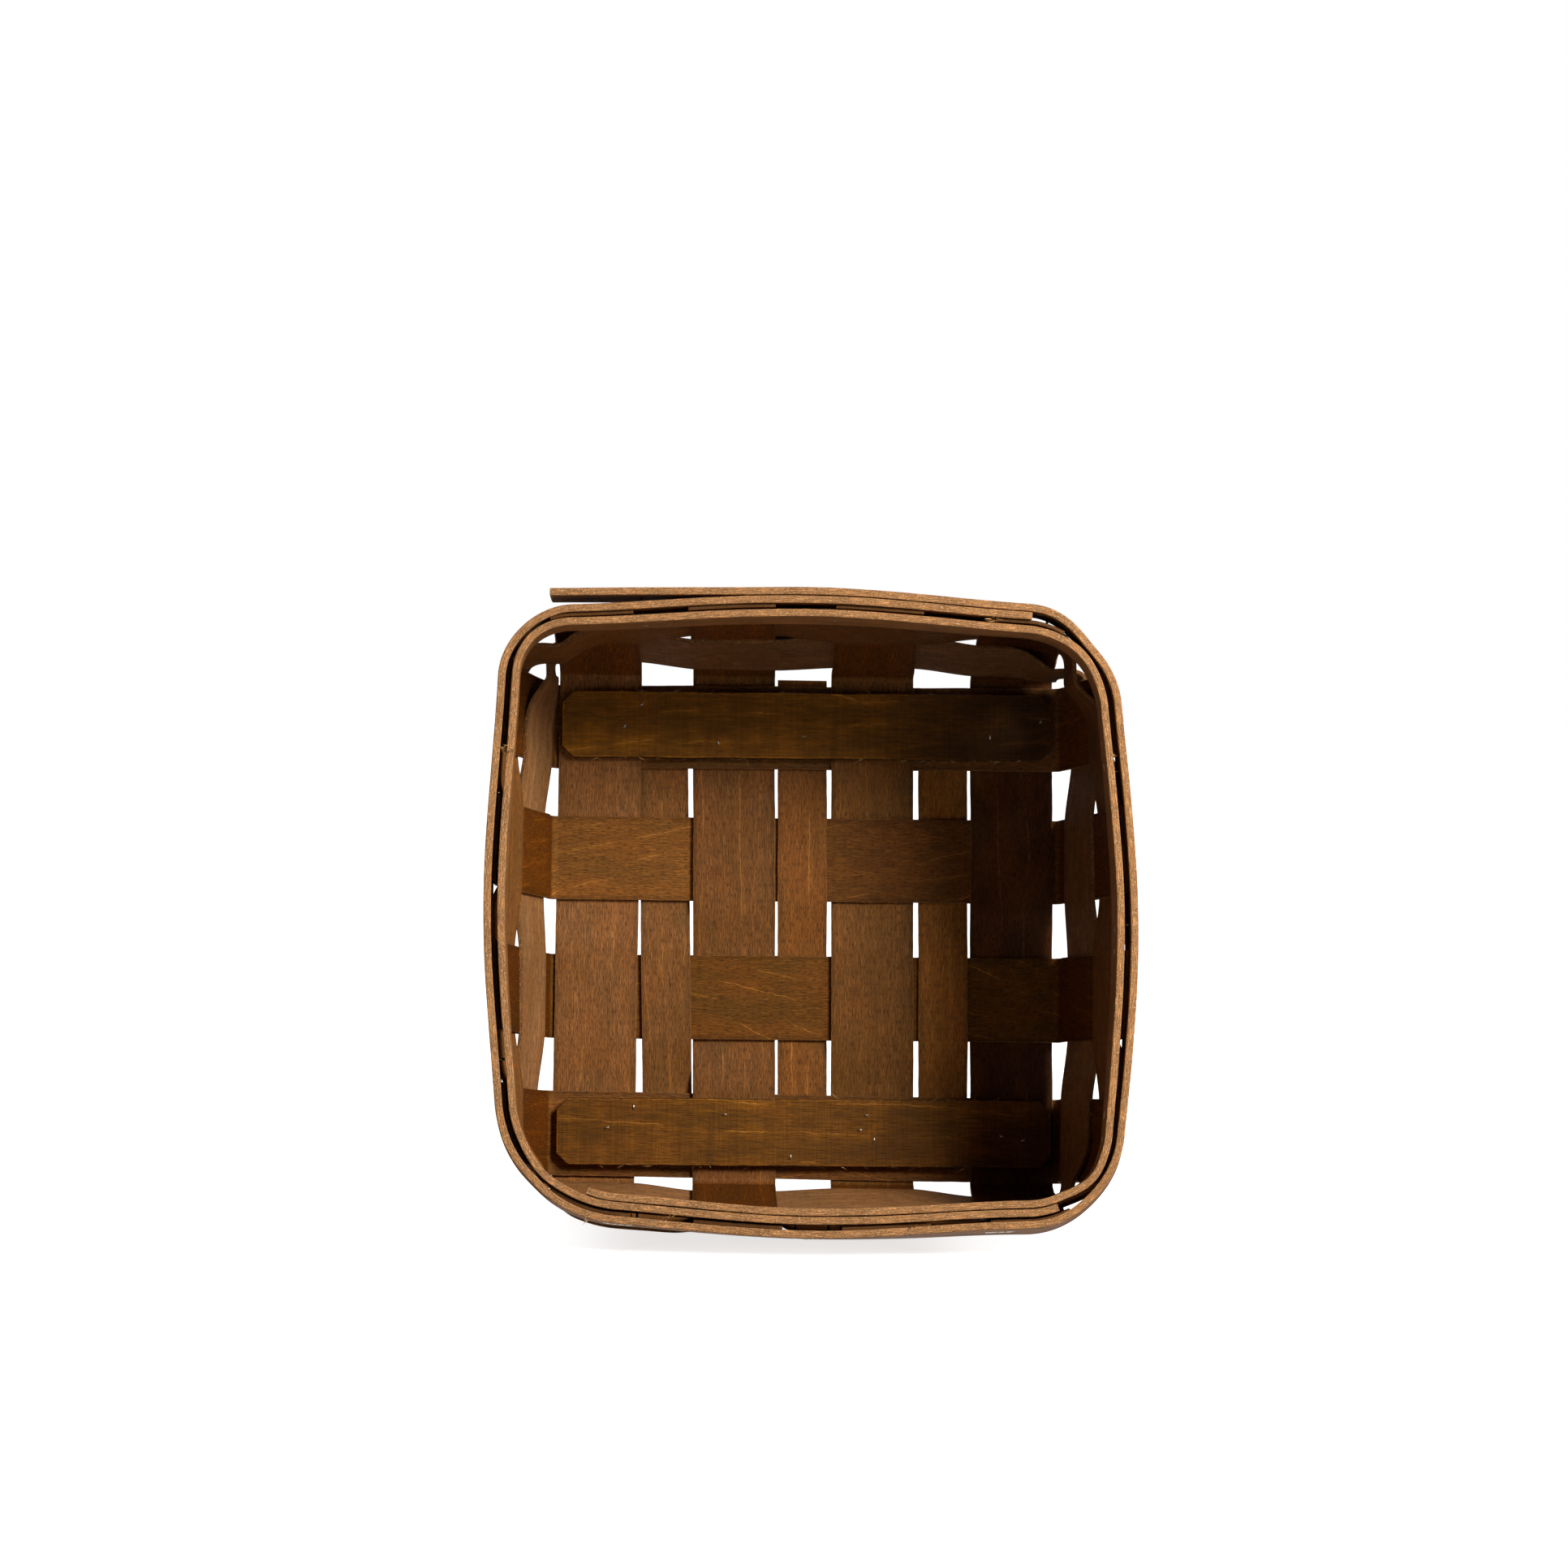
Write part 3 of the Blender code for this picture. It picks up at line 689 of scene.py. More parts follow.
def make_runner(level, index):
    name = f"{level}_runner_{index + 1}"
    line = LINES[-1] if index == 0 else LINES[0]
    thickness = RUNNER_THICKNESS if level == "inner" else GROUND_DEPTH - BASE_FACE
    height = BASE_FACE + thickness / 2 if level == "inner" else -BASE_FACE - thickness / 2

    def place(s, c):
        return Vector((s, line + c + aside(RUNNER_LAY[index], s), height))

    def clipped(s):
        return max(RUNNER_CLIP - (RUNNER_LENGTH / 2 - abs(s)), 0)

    half = RUNNER_LENGTH / 2
    tips = [(-RUNNER_LENGTH, RUNNER_CLIP - half), (half - RUNNER_CLIP, RUNNER_LENGTH)]
    stations = stations_between(-half, half, BAND_STEP_LENGTH, tips)
    seed = 16 + 2 * (level == "outer") + index
    made = strip_body(name + "_slat", place, stations, RUNNER_WIDTH, thickness, seed, corner=0.25 * MM,
                      edge_count=4, stray=0.2 * MM, rough=0.12 * MM, billow=0.06 * MM, narrower=clipped)
    made.data.set_sharp_from_angle(angle=math.radians(40))
    return made, name


# Wire staples and frayed fibres

STAPLE_WIRE = 0.8 * MM
STAPLE_CROWN = 9.5 * MM
RIM_STAPLE_SPACING = 55.0 * MM
RIM_STAPLE_START = 0.55        # of a spacing
POINT_BEND = 0.22              # where a staple's bent points end, of the crown's length from each side
SUNK = 0.2                     # of the wire's thickness, into the face of a band
CLINCHED_POINT = 1.5 * MM      # how much of a bent point shows on a runner
POINT_THICKNESS = 0.36         # of the wire's, for half a point that is cut slanting
POINT_FROM = 0.5 * MM          # below a runner's face
POINT_RISE = 0.65 * MM         # from there to its bend
POINT_DROP = 0.3 * MM          # of its tip
WIRE_SIDES = 8

# Where points come through the runners, in millimetres from the middle of the base, seen in the photograph
RUNNER_POINTS = (
    ((-56.6, 61.9), (-51.7, 68.8), (-27.2, 57.0), (-1.4, 59.5), (56.8, 59.4), (72.4, 64.6)),
    ((-60.8, -61.7), (-52.2, -55.7), (-24.8, -57.4), (-4.1, -70.6), (16.8, -61.8), (18.7, -57.3),
     (21.5, -65.2), (61.1, -63.6), (66.9, -64.6)),
)


def wire_rings(points, radii):
    """Rings of points round each point of a wire, square to its run."""
    rings = []
    for index, point in enumerate(points):
        run = points[min(index + 1, len(points) - 1)] - points[max(index - 1, 0)]
        side = run.cross(Vector((0.31, 0.57, 0.76))).normalized()
        other = run.cross(side).normalized()
        angles = [k * (2 * math.pi / WIRE_SIDES) for k in range(WIRE_SIDES)]
        rings.append([
            point + (side * math.cos(angle) + other * math.sin(angle)) * radii[index] for angle in angles
        ])
    return rings


def add_wires(name, runs, material):
    """One piece made of round wires. runs is a list of (points, radii) pairs."""
    points, faces = [], []
    for middle, radii in runs:
        first = len(points)
        rings = wire_rings(middle, radii)
        for ring in rings:
            points += [tuple(point) for point in ring]
        for row in range(len(rings) - 1):
            for k in range(WIRE_SIDES):
                a, b = first + row * WIRE_SIDES + k, first + row * WIRE_SIDES + (k + 1) % WIRE_SIDES
                faces.append((a, a + WIRE_SIDES, b + WIRE_SIDES, b))
        faces.append(tuple(first + k for k in range(WIRE_SIDES)))
        last = len(points) - WIRE_SIDES
        faces.append(tuple(last + k for k in reversed(range(WIRE_SIDES))))
    mesh = bpy.data.meshes.new(name)
    mesh.from_pydata(points, [], faces)
    mesh.polygons.foreach_set("use_smooth", [len(face) == 4 for face in faces])
    mesh.materials.append(material)
    made = add_piece(name, mesh)
    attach(made, "root")
    return made


def make_runner_points(steel, draws):
    """The clinched points of the staples that hold each pair of runners."""
    face = BASE_FACE + RUNNER_THICKNESS
    for index, spots in enumerate(RUNNER_POINTS):
        runs = []
        for x, y in spots:
            angle = draws.uniform(0, math.pi)
            away = Vector((math.cos(angle), math.sin(angle), 0)) * CLINCHED_POINT
            foot = Vector((x * MM, y * MM, face - POINT_FROM))
            top = foot + Vector((0, 0, POINT_RISE))
            thick = STAPLE_WIRE * POINT_THICKNESS
            runs.append(([foot, top, top + away * 0.5, top + away - Vector((0, 0, POINT_DROP))],
                         [thick, thick, thick * 0.9, thick * 0.25]))
        add_wires(f"runner_{index + 1}_staple_points", runs, steel)


def make_rim_staples(steel):
    """Each has its crown on the outer band and its two points bent over on the inner one."""
    level = sum(BANDS) / 2
    outside = BAND_STEP + BAND_THICKNESS / 2 - STAPLE_WIRE * SUNK
    inside = -BAND_STEP - BAND_THICKNESS / 2 + STAPLE_WIRE * SUNK
    runs = []
    for count in range(round(ONCE_ROUND / RIM_STAPLE_SPACING)):
        girth = (count + RIM_STAPLE_START) * RIM_STAPLE_SPACING - SIDE_RUN / 2
        if abs(girth - nearest_corner(girth)[1]) < CORNER_RUN:
            continue
        side = math.floor(girth / SIDE_RUN + 0.5) % len(SIDES)
        out = outside + (BAND_LAP_STEP if side == BACK else 0)
        back = inside - (BAND_LAP_STEP if side == FRONT else 0)
        ends = [girth - STAPLE_CROWN / 2, girth + STAPLE_CROWN / 2]
        path = [wall_point(mix(*ends, POINT_BEND), level, back), wall_point(ends[0], level, back)]
        path += [wall_point(ends[0], level, out)]
        path += [wall_point(mix(*ends, share / 4), level, out) for share in range(5)]
        path += [wall_point(ends[1], level, back), wall_point(mix(*ends, 1 - POINT_BEND), level, back)]
        runs.append((path, [STAPLE_WIRE / 2] * len(path)))
    staples = add_wires("rim_staples", runs, steel)
    return staples


# Where tufts of torn fibre stand on the rim: (x, y) in millimetres, how many, how long
TUFTS = (
    (-84.2, 81.2, 7, 2.0), (-40.4, -88.4, 6, 2.2), (52.5, 86.2, 6, 2.0), (87.5, 46.7, 5, 1.8),
    (-89.6, 46.7, 9, 2.6), (-63.1, -89.3, 5, 1.8), (-88.3, 62.0, 4, 1.5), (30.0, -91.0, 4, 1.6),
)
FIBRE_ROOT = 0.4               # of each, in millimetres inside the wood
RUNNER_FIBRES = 46             # along the edges of each inner runner
FIBRES_REACH = 0.46            # of its length, to both sides of its middle
FIBRES_BEHIND = 0.35           # of them, on its edge towards the back


def make_frays(wood, draws):
    """Short torn fibres on the rim's cut edges, and along the long edges of the runners."""
    runs = []

    def add_fibre(root, direction, length, radius):
        bend = Vector([draws.uniform(-0.5, 0.5) for axis in range(3)])
        path = [root - direction * FIBRE_ROOT * MM]
        path += [root + (direction + bend * share * 0.8) * length * share for share in (0.3, 0.65, 1)]
        runs.append((path, [radius, radius, radius * 0.7, radius * 0.2]))

    top = wall_profile(BANDS[1])[1]
    for x, y, count, length in TUFTS:
        for index in range(count):
            root = Vector((x + draws.uniform(-1.6, 1.6), y + draws.uniform(-0.7, 0.7), 0)) * MM
            root.z = top - 0.2 * MM
            aim = Vector((draws.uniform(-1, 1), draws.uniform(-1, 1), draws.uniform(0.2, 0.7))).normalized()
            add_fibre(root, aim, length * draws.uniform(0.4, 1) * MM, draws.uniform(0.08, 0.16) * MM)
    face = BASE_FACE + RUNNER_THICKNESS
    for index, line in enumerate((LINES[-1], LINES[0])):
        for count in range(RUNNER_FIBRES):
            x = draws.uniform(-RUNNER_LENGTH, RUNNER_LENGTH) * FIBRES_REACH
            sign = 1 if draws.random() < FIBRES_BEHIND else -1
            y = line + aside(RUNNER_LAY[index], x) + sign * RUNNER_WIDTH / 2
            aim = Vector((draws.choice((-1, 1)), sign * draws.uniform(0.05, 0.5), draws.uniform(-0.1, 0.2)))
            root = Vector((x, y - sign * 0.1 * MM, face - draws.uniform(0.2, 1.4) * MM))
            add_fibre(root, aim.normalized(), draws.uniform(0.8, 3.2) * MM, draws.uniform(0.06, 0.13) * MM)
    add_wires("frayed_fibres", runs, wood)


# Finishes

def stain(red, green, blue):
    """A colour as it is read off a screen, for a shader."""
    def linear(value):
        value /= 255
        return value / 12.92 if value <= 0.04045 else ((value + 0.055) / 1.055) ** 2.4
    return (linear(red), linear(green), linear(blue), 1)


class Shading:
    """Adds nodes to one tree. Each method takes numbers or sockets, and gives back an output socket."""

    def __init__(self, tree):
        self.tree = tree

    def feed(self, socket, value):
        if isinstance(value, bpy.types.NodeSocket):
            self.tree.links.new(value, socket)
        else:
            socket.default_value = value

    def outputs(self, kind, values, **settings):
        made = self.tree.nodes.new(kind)
        for name, setting in settings.items():
            setattr(made, name, setting)
        for name, value in values.items():
            self.feed(made.inputs[name], value)
        return made.outputs

    def node(self, kind, values, output=0, **settings):
        return self.outputs(kind, values, **settings)[output]

    def math(self, operation, *values):
        return self.node("ShaderNodeMath", dict(enumerate(values)), operation=operation)

    def vector(self, operation, *values):
        return self.node("ShaderNodeVectorMath", dict(enumerate(values)), operation=operation)

    def combine(self, x, y, z=0.0):
        return self.node("ShaderNodeCombineXYZ", {"X": x, "Y": y, "Z": z})

    def split(self, vector):
        return self.outputs("ShaderNodeSeparateXYZ", {0: vector})[:]

    def place(self, output="Object"):
        """Where a point lies on its piece, or with "Generated" in which direction the world does."""
        return self.node("ShaderNodeTexCoord", {}, output=output)

    def lay(self, label):
        """One of a strip's UV maps, in millimetres."""
        return self.node("ShaderNodeUVMap", {}, uv_map=label)

    def grain(self, length, width, shift=0.0, detail=2.0, roughness=0.5):
        """Noise drawn out along the grain, with cells of this length and width in millimetres."""
        cells = self.vector("DIVIDE", self.lay("grain"), self.combine(length, width, 1.0))
        moved = self.vector("ADD", cells, self.combine(shift, shift, 0.0))
        values = {"Vector": moved, "Scale": 1.0, "Detail": detail, "Roughness": roughness}
        return self.node("ShaderNodeTexNoise", values, noise_dimensions="2D")

    def between(self, value, low, high, to_low=0.0, to_high=1.0):
        values = {"Value": value, "From Min": low, "From Max": high, "To Min": to_low, "To Max": to_high}
        return self.node("ShaderNodeMapRange", values, interpolation_type="SMOOTHSTEP")

    def blend(self, share, first, second, how="MIX"):
        values = {0: share, 6: first, 7: second}
        return self.node("ShaderNodeMix", values, output=2, data_type="RGBA", blend_type=how)

    def layered(self, colour, *layers):
        """Colours laid over each other. Each layer is a mask, how much of it counts, and its colour."""
        for mask, share, layer in layers:
            colour = self.blend(self.math("MULTIPLY", mask, share), colour, layer)
        return colour

    def group(self, tree, **values):
        """All the masks of an effect, in their order."""
        named = {name.replace("_", " ").capitalize(): value for name, value in values.items()}
        return self.outputs("ShaderNodeGroup", named, node_tree=tree)[:]


def effect(name, inputs, outputs, build):
    """A shader node group that gives masks: build(shading, given) gives a socket for each output."""
    tree = bpy.data.node_groups.new(name, "ShaderNodeTree")
    for label, value in inputs.items():
        socket = tree.interface.new_socket(label, in_out="INPUT", socket_type="NodeSocketFloat")
        socket.default_value = value
    for label in outputs:
        tree.interface.new_socket(label, in_out="OUTPUT", socket_type="NodeSocketFloat")
    given = tree.nodes.new("NodeGroupInput").outputs
    result = tree.nodes.new("NodeGroupOutput")
    for label, socket in build(Shading(tree), given).items():
        tree.links.new(socket, result.inputs[label])
    return tree


def build_fibres(shading, given):
    """Short pores, longer pale and dark fibres, and broad streaks along the grain."""
    pore = shading.grain(given["Pore length"], given["Pore width"], detail=1.0)
    fibre = shading.grain(given["Fibre length"], given["Fibre width"], 5.3, detail=3.0, roughness=0.7)
    streak = shading.grain(26.0, 1.7, 3.9, roughness=0.6)
    return {"Pores": shading.between(pore, 0.5, 0.72), "Fibres": shading.between(fibre, 0.3, 0.7),
            "Streaks": shading.between(streak, 0.3, 0.7)}


def build_growth_lines(shading, given):
    """Thin broken lines of paler wood, as rotary cutting draws them: straight, oblique or in peaks."""
    along, across = shading.split(shading.lay("grain"))[:2]
    wander = shading.grain(given["Wave length"], given["Wave width"], detail=1.5)
    shake = shading.grain(5.0, 2.5, 2.7)
    wander = shading.math("MULTIPLY", shading.math("SUBTRACT", wander, 0.5), given["Waviness"])
    shake = shading.math("MULTIPLY", shading.math("SUBTRACT", shake, 0.5), 0.9)
    level = shading.math("MULTIPLY_ADD", along, given["Slope"], across)
    level = shading.math("ADD", shading.math("ADD", level, wander), shake)
    phase = shading.math("FRACT", shading.math("DIVIDE", level, given["Spacing"]))
    off = shading.math("ABSOLUTE", shading.math("SUBTRACT", phase, 0.5))
    off = shading.math("MULTIPLY", off, given["Spacing"])
    line = shading.between(off, 0.03, 0.19, 1.0, 0.0)
    soft = shading.between(off, 0.2, 2.2, 1.0, 0.0)
    broken = shading.between(shading.grain(24.0, 6.0, 8.1), 0.46, 0.60)
    dashes = shading.between(shading.grain(1.6, 0.5, 1.9), 0.3, 0.6, 0.3)
    line = shading.math("MULTIPLY", line, shading.math("MULTIPLY", broken, dashes))
    return {"Lines": line, "Bands": shading.math("MULTIPLY", soft, broken)}


def build_blotches(shading, given):
    """Where the stain took darker, and where it turned warmer."""
    dark = shading.grain(given["Length"], given["Width"], 3.1, detail=2.5, roughness=0.6)
    warm = shading.grain(24.0, 11.0, 9.7)
    return {"Dark": shading.between(dark, 0.32, 0.70), "Warm": shading.between(warm, 0.35, 0.68)}


def build_edge_wear(shading, given):
    """Ragged wear beside the long edges of a strip, and dirt a little further in."""
    from_edge, from_end = shading.split(shading.lay("edges"))[:2]
    ragged = shading.math("MULTIPLY", shading.grain(1.8, 1.1, 4.4, roughness=0.7), given["Width"])
    near, end = (shading.math("SUBTRACT", distance, ragged) for distance in (from_edge, from_end))
    least = shading.math("MINIMUM", near, end)
    worn, dirt = (shading.between(least, low, high, 1.0, 0.0) for low, high in ((-0.2, 0.12), (0.0, 1.6)))
    return {"Worn": worn, "Dirt": dirt}


def build_saw_marks(shading, given):
    """Fine marks that the saw left across the grain."""
    marks = shading.grain(given["Pitch"], 22.0, 6.2, roughness=0.7)
    wide = shading.grain(7.0, 30.0, 0.9, detail=1.0)
    return {"Marks": shading.between(marks, 0.35, 0.65), "Shades": shading.between(wide, 0.4, 0.62)}


def build_cut_fibres(shading, given):
    """A cut edge: pale specks of torn fibres with painted glints, dark pits and grooves along the grain."""
    speck = shading.grain(given["Speck length"], 0.30, 7.7, detail=3.0, roughness=0.75)
    pit = shading.grain(0.55, 0.25, 1.3, roughness=0.6)
    groove = shading.grain(4.0, 0.26, 2.2)
    return {"Specks": shading.between(speck, 0.54, 0.68), "Pits": shading.between(pit, 0.56, 0.7),
            "Grooves": shading.between(groove, 0.38, 0.66)}


FIBRES = effect(
    "veneer_fibres", {"Pore length": 1.7, "Pore width": 0.17, "Fibre length": 5.0, "Fibre width": 0.30},
    ("Pores", "Fibres", "Streaks"), build_fibres)
GROWTH_LINES = effect(
    "growth_lines", {"Spacing": 7.0, "Slope": 0.0, "Waviness": 6.0, "Wave length": 60.0, "Wave width": 18.0},
    ("Lines", "Bands"), build_growth_lines)
BLOTCHES = effect("stain_blotches", {"Length": 34.0, "Width": 12.0}, ("Dark", "Warm"), build_blotches)
EDGE_WEAR = effect("edge_wear", {"Width": 0.6}, ("Worn", "Dirt"), build_edge_wear)
SAW_MARKS = effect("saw_marks", {"Pitch": 0.9}, ("Marks", "Shades"), build_saw_marks)
CUT_FIBRES = effect("cut_fibres", {"Speck length": 1.5}, ("Specks", "Pits", "Grooves"), build_cut_fibres)

UPRIGHT_PAINTED_SHADE = (0.60, 0.45, 0.15, 1)  # painted shade: how much light of each colour it leaves on a splint's upright ends
UPRIGHT_FROM = (1.2 * MM, 3.4 * MM)    # the heights between which it sets in
LINE_STAIN = (206, 138, 58)
GREEN_SHADE = (96, 70, 26)
WARM_SHADE = (150, 84, 26)
WARM_SLAT = (124, 72, 20)

# Of each veneer: its stain, and the spacing, slope and waviness of its growth lines, and how pale they are
VENEER_LOOKS = {
    "length_splint_1": ((147, 96, 51), 9.0, 0.00, 16.0, 0.60),
    "length_splint_2": ((125, 79, 37), 6.0, 0.01, 5.0, 0.45),
    "length_splint_3": ((126, 81, 36), 8.0, -0.01, 7.0, 0.40),
    "length_splint_4": ((84, 46, 17), 9.0, 0.00, 8.0, 0.35),
    "cross_splint_1": ((120, 76, 34), 8.0, 0.02, 7.0, 0.40),
    "cross_splint_2": ((135, 84, 31), 7.0, 0.17, 9.0, 0.65),
    "cross_splint_3": ((110, 66, 14), 6.5, -0.28, 6.0, 0.50),
    "cross_splint_4": ((126, 78, 33), 8.0, 0.03, 8.0, 0.40),
    "filler_slat_1": ((135, 87, 42), 7.0, 0.01, 8.0, 0.60),
    "filler_slat_2": ((138, 84, 35), 5.0, 0.00, 5.0, 0.70),
    "filler_slat_3": ((156, 98, 38), 7.0, 0.02, 7.0, 0.45),
    "lower_weaver": ((160, 112, 68), 8.0, 0.01, 12.0, 0.60),
    "upper_weaver": ((134, 85, 40), 8.0, -0.01, 9.0, 0.45),
}
BAND_LOOKS = {"outer_rim_band": ((150, 99, 56),), "inner_rim_band": ((148, 98, 56),)}
RUNNER_LOOKS = {
    "inner_runner_1": ((146, 92, 15), 8.0, 0.01, 17.0, 0.65),
    "inner_runner_2": ((128, 78, 15), 9.0, -0.03, 7.0, 0.60),
    "outer_runner_1": ((110, 70, 24), 7.0, 0.02, 9.0, 0.55),
    "outer_runner_2": ((106, 66, 22), 8.0, -0.01, 10.0, 0.55),
}

# Painted shade where the walls shade the inside: the way a strip darkens, from where to where in millimetres,
# and how much light it leaves
PAINTED_SHADE_ENDS = {
    "inner_runner_1": ((1, 0, 0), 0, 60, 0.33),
    "cross_splint_2": ((1, 0, 0), -20, 26, 0.62),
    "length_splint_4": ((1, 0, 0), 50, 60, 0.85),
    "lower_weaver": ((0.6, 0.8, 0), -30, 90, 0.50),
    "upper_weaver": ((0.6, 0.8, 0), -30, 110, 0.52),
}


def scaled(colour, share):
    return stain(*(value * share for value in colour))


def new_material(name, roughness, specular):
    material = bpy.data.materials.new(name)
    material.use_nodes = True
    shader = material.node_tree.nodes["Principled BSDF"]
    shader.inputs["Roughness"].default_value = roughness
    shader.inputs["Specular IOR Level"].default_value = specular
    return material, Shading(material.node_tree), shader


def painted_shade_towards_end(shading, name, wood):
    """Painted shade: some strips are painted darker towards one end or corner, where the walls shade the
    inside.
    """
    if name not in PAINTED_SHADE_ENDS:
        return wood
    way, start, full, depth = PAINTED_SHADE_ENDS[name]
    values = {0: shading.place(), 1: way}
    along = shading.node("ShaderNodeVectorMath", values, output="Value", operation="DOT_PRODUCT")
    share = shading.between(along, start * MM, full * MM)
    return shading.blend(share, wood, (depth, depth * 0.92, depth * 0.85, 1), how="MULTIPLY")


def finish_wood(shading, shader, wood, height, depth):
    bump = shading.node("ShaderNodeBump", {"Height": height, "Distance": depth, "Strength": 1.0})
    shading.feed(shader.inputs["Normal"], bump)
    shading.feed(shader.inputs["Base Color"], wood)


def above_fold(shading):
    """Where a splint has turned up into a wall."""
    return shading.between(shading.split(shading.place())[2], *UPRIGHT_FROM)


def veneer_face(name, colour, spacing, slope, waviness, paleness):
    """Stained rotary-cut veneer, with painted shade on the splints' upright ends."""
    material, shading, shader = new_material(name + "_stained_veneer", 0.6, 0.12)
    pores, fibres, streaks = shading.group(FIBRES)
    lines, bands = shading.group(GROWTH_LINES, spacing=spacing, slope=slope, waviness=waviness)
    dark, warm = shading.group(BLOTCHES)
    worn = shading.group(EDGE_WEAR, width=0.45)[0]
    dirt = shading.group(EDGE_WEAR, width=0.8)[1]
    wood = shading.layered(
        shading.blend(fibres, scaled(colour, 0.78), scaled(colour, 1.22)),
        (streaks, 0.34, scaled(colour, 0.72)),
        (dark, 0.30, scaled(GREEN_SHADE, 0.95)),
        (warm, 0.22, stain(*WARM_SHADE)),
        (bands, 0.22 * paleness, scaled(colour, 1.35)),
        (pores, 0.7, scaled(colour, 0.48)),
        (lines, paleness, stain(*LINE_STAIN)),
        (dirt, 0.30, scaled(colour, 0.45)),
        (worn, 0.45, scaled(colour, 1.30)),
    )
    # painted shade towards a shaded end or corner
    wood = painted_shade_towards_end(shading, name, wood)
    if "splint" in name:
        # painted shade on the ends that turn up into the walls
        wood = shading.blend(above_fold(shading), wood, UPRIGHT_PAINTED_SHADE, how="MULTIPLY")
    shading.feed(shader.inputs["Roughness"], shading.between(fibres, 0.0, 1.0, 0.66, 0.52))
    finish_wood(shading, shader, wood, shading.math("SUBTRACT", fibres, pores), 0.06 * MM)
    return material


def runner_face(name, colour, spacing, slope, waviness, paleness):
    """A dark sawn slat with long golden growth lines."""
    material, shading, shader = new_material(name + "_sawn_slat", 0.55, 0.14)
    pores, fibres = shading.group(
        FIBRES, fibre_length=12.0, fibre_width=0.8, pore_length=3.5, pore_width=0.35)[:2]
    lines, bands = shading.group(
        GROWTH_LINES, spacing=spacing, slope=slope, waviness=waviness, wave_length=75.0, wave_width=26.0)
    marks, shades = shading.group(SAW_MARKS)
    dark, warm = shading.group(BLOTCHES, length=26.0, width=9.0)
    worn = shading.group(EDGE_WEAR, width=0.9)[0]
    wood = shading.layered(
        shading.blend(fibres, scaled(colour, 0.84), scaled(colour, 1.08)),
        (dark, 0.55, scaled(colour, 0.52)),
        (warm, 0.30, stain(*WARM_SLAT)),
        (bands, 0.22, scaled(colour, 1.4)),
        (shades, 0.34, scaled(colour, 0.7)),
        (marks, 0.18, scaled(colour, 0.5)),
        (pores, 0.35, scaled(colour, 0.45)),
        (lines, paleness, stain(*LINE_STAIN)),
        (worn, 0.35, scaled(colour, 1.5)),
    )
    # painted shade towards a shaded end or corner
    wood = painted_shade_towards_end(shading, name, wood)
    shading.feed(shader.inputs["Roughness"], shading.between(marks, 0.0, 1.0, 0.5, 0.65))
    height = shading.math("SUBTRACT", shading.math("MULTIPLY_ADD", marks, 0.6, fibres), pores)
    finish_wood(shading, shader, wood, height, 0.07 * MM)
    return material


def band_face(name, colour):
    material, shading, shader = new_material(name + "_stained_slat", 0.58, 0.14)
    pores, fibres = shading.group(
        FIBRES, fibre_length=9.0, fibre_width=0.6, pore_length=3.2, pore_width=0.28)[:2]
    lines = shading.group(GROWTH_LINES, spacing=5.0, waviness=9.0, wave_length=80.0)[0]
    dark = shading.group(BLOTCHES, length=40.0, width=10.0)[0]
    worn = shading.group(EDGE_WEAR, width=1.1)[0]
    wood = shading.layered(
        shading.blend(fibres, scaled(colour, 0.80), scaled(colour, 1.16)),
        (dark, 0.35, scaled(GREEN_SHADE, 0.9)),
        (pores, 0.6, scaled(colour, 0.5)),
        (lines, 0.6, stain(*LINE_STAIN)),
        (worn, 0.5, scaled(colour, 1.35)),
    )
    finish_wood(shading, shader, wood, shading.math("SUBTRACT", fibres, pores), 0.08 * MM)
    return material


def cut_edge(name, colour, pale, speck_length, depth):
    """The cut edge of a strip, mottled where the stain took unevenly."""
    material, shading, shader = new_material(name, 0.7, 0.1)
    pale_specks_and_glints, pits, grooves = shading.group(CUT_FIBRES, speck_length=speck_length)
    dark = shading.group(BLOTCHES, length=11.0, width=6.0)[0]
    wood = shading.layered(
        shading.blend(grooves, scaled(colour, 0.80), scaled(colour, 1.08)),
        (dark, 0.42, scaled(colour, 0.64)),
        (pits, 0.6, scaled(colour, 0.45)),
        # pale specks: torn fibres, partly painted glints of the cut fibres
        (pale_specks_and_glints, 0.85, stain(*pale)),
    )
    height = shading.math("SUBTRACT", shading.math("MULTIPLY_ADD", pale_specks_and_glints, 0.5, grooves), pits)
    finish_wood(shading, shader, wood, height, depth)
    return material


def staple_steel():
    """Bright wire, dulled in spots."""
    material, shading, shader = new_material("staple_steel", 0.35, 0.5)
    tarnish = shading.node("ShaderNodeTexNoise", {"Vector": shading.place(), "Scale": 900.0, "Detail": 3.0})
    dull = shading.between(tarnish, 0.45, 0.68)
    shading.feed(shader.inputs["Base Color"], shading.blend(dull, stain(226, 220, 206), stain(138, 120, 96)))
    shading.feed(shader.inputs["Roughness"], shading.between(dull, 0.0, 1.0, 0.28, 0.55))
    shader.inputs["Metallic"].default_value = 1.0
    return material


def torn_fibre():
    material, shading, shader = new_material("torn_fibre", 0.75, 0.2)
    tone = shading.node("ShaderNodeTexNoise", {"Vector": shading.place(), "Scale": 500.0, "Detail": 2.0})
    tone = shading.between(tone, 0.35, 0.65)
    shading.feed(shader.inputs["Base Color"], shading.blend(tone, stain(120, 76, 34), stain(206, 160, 104)))
    return material


SLOTS = ("splint", "filler", "weaver", "band", "runner")       # each node's name holds its slot's


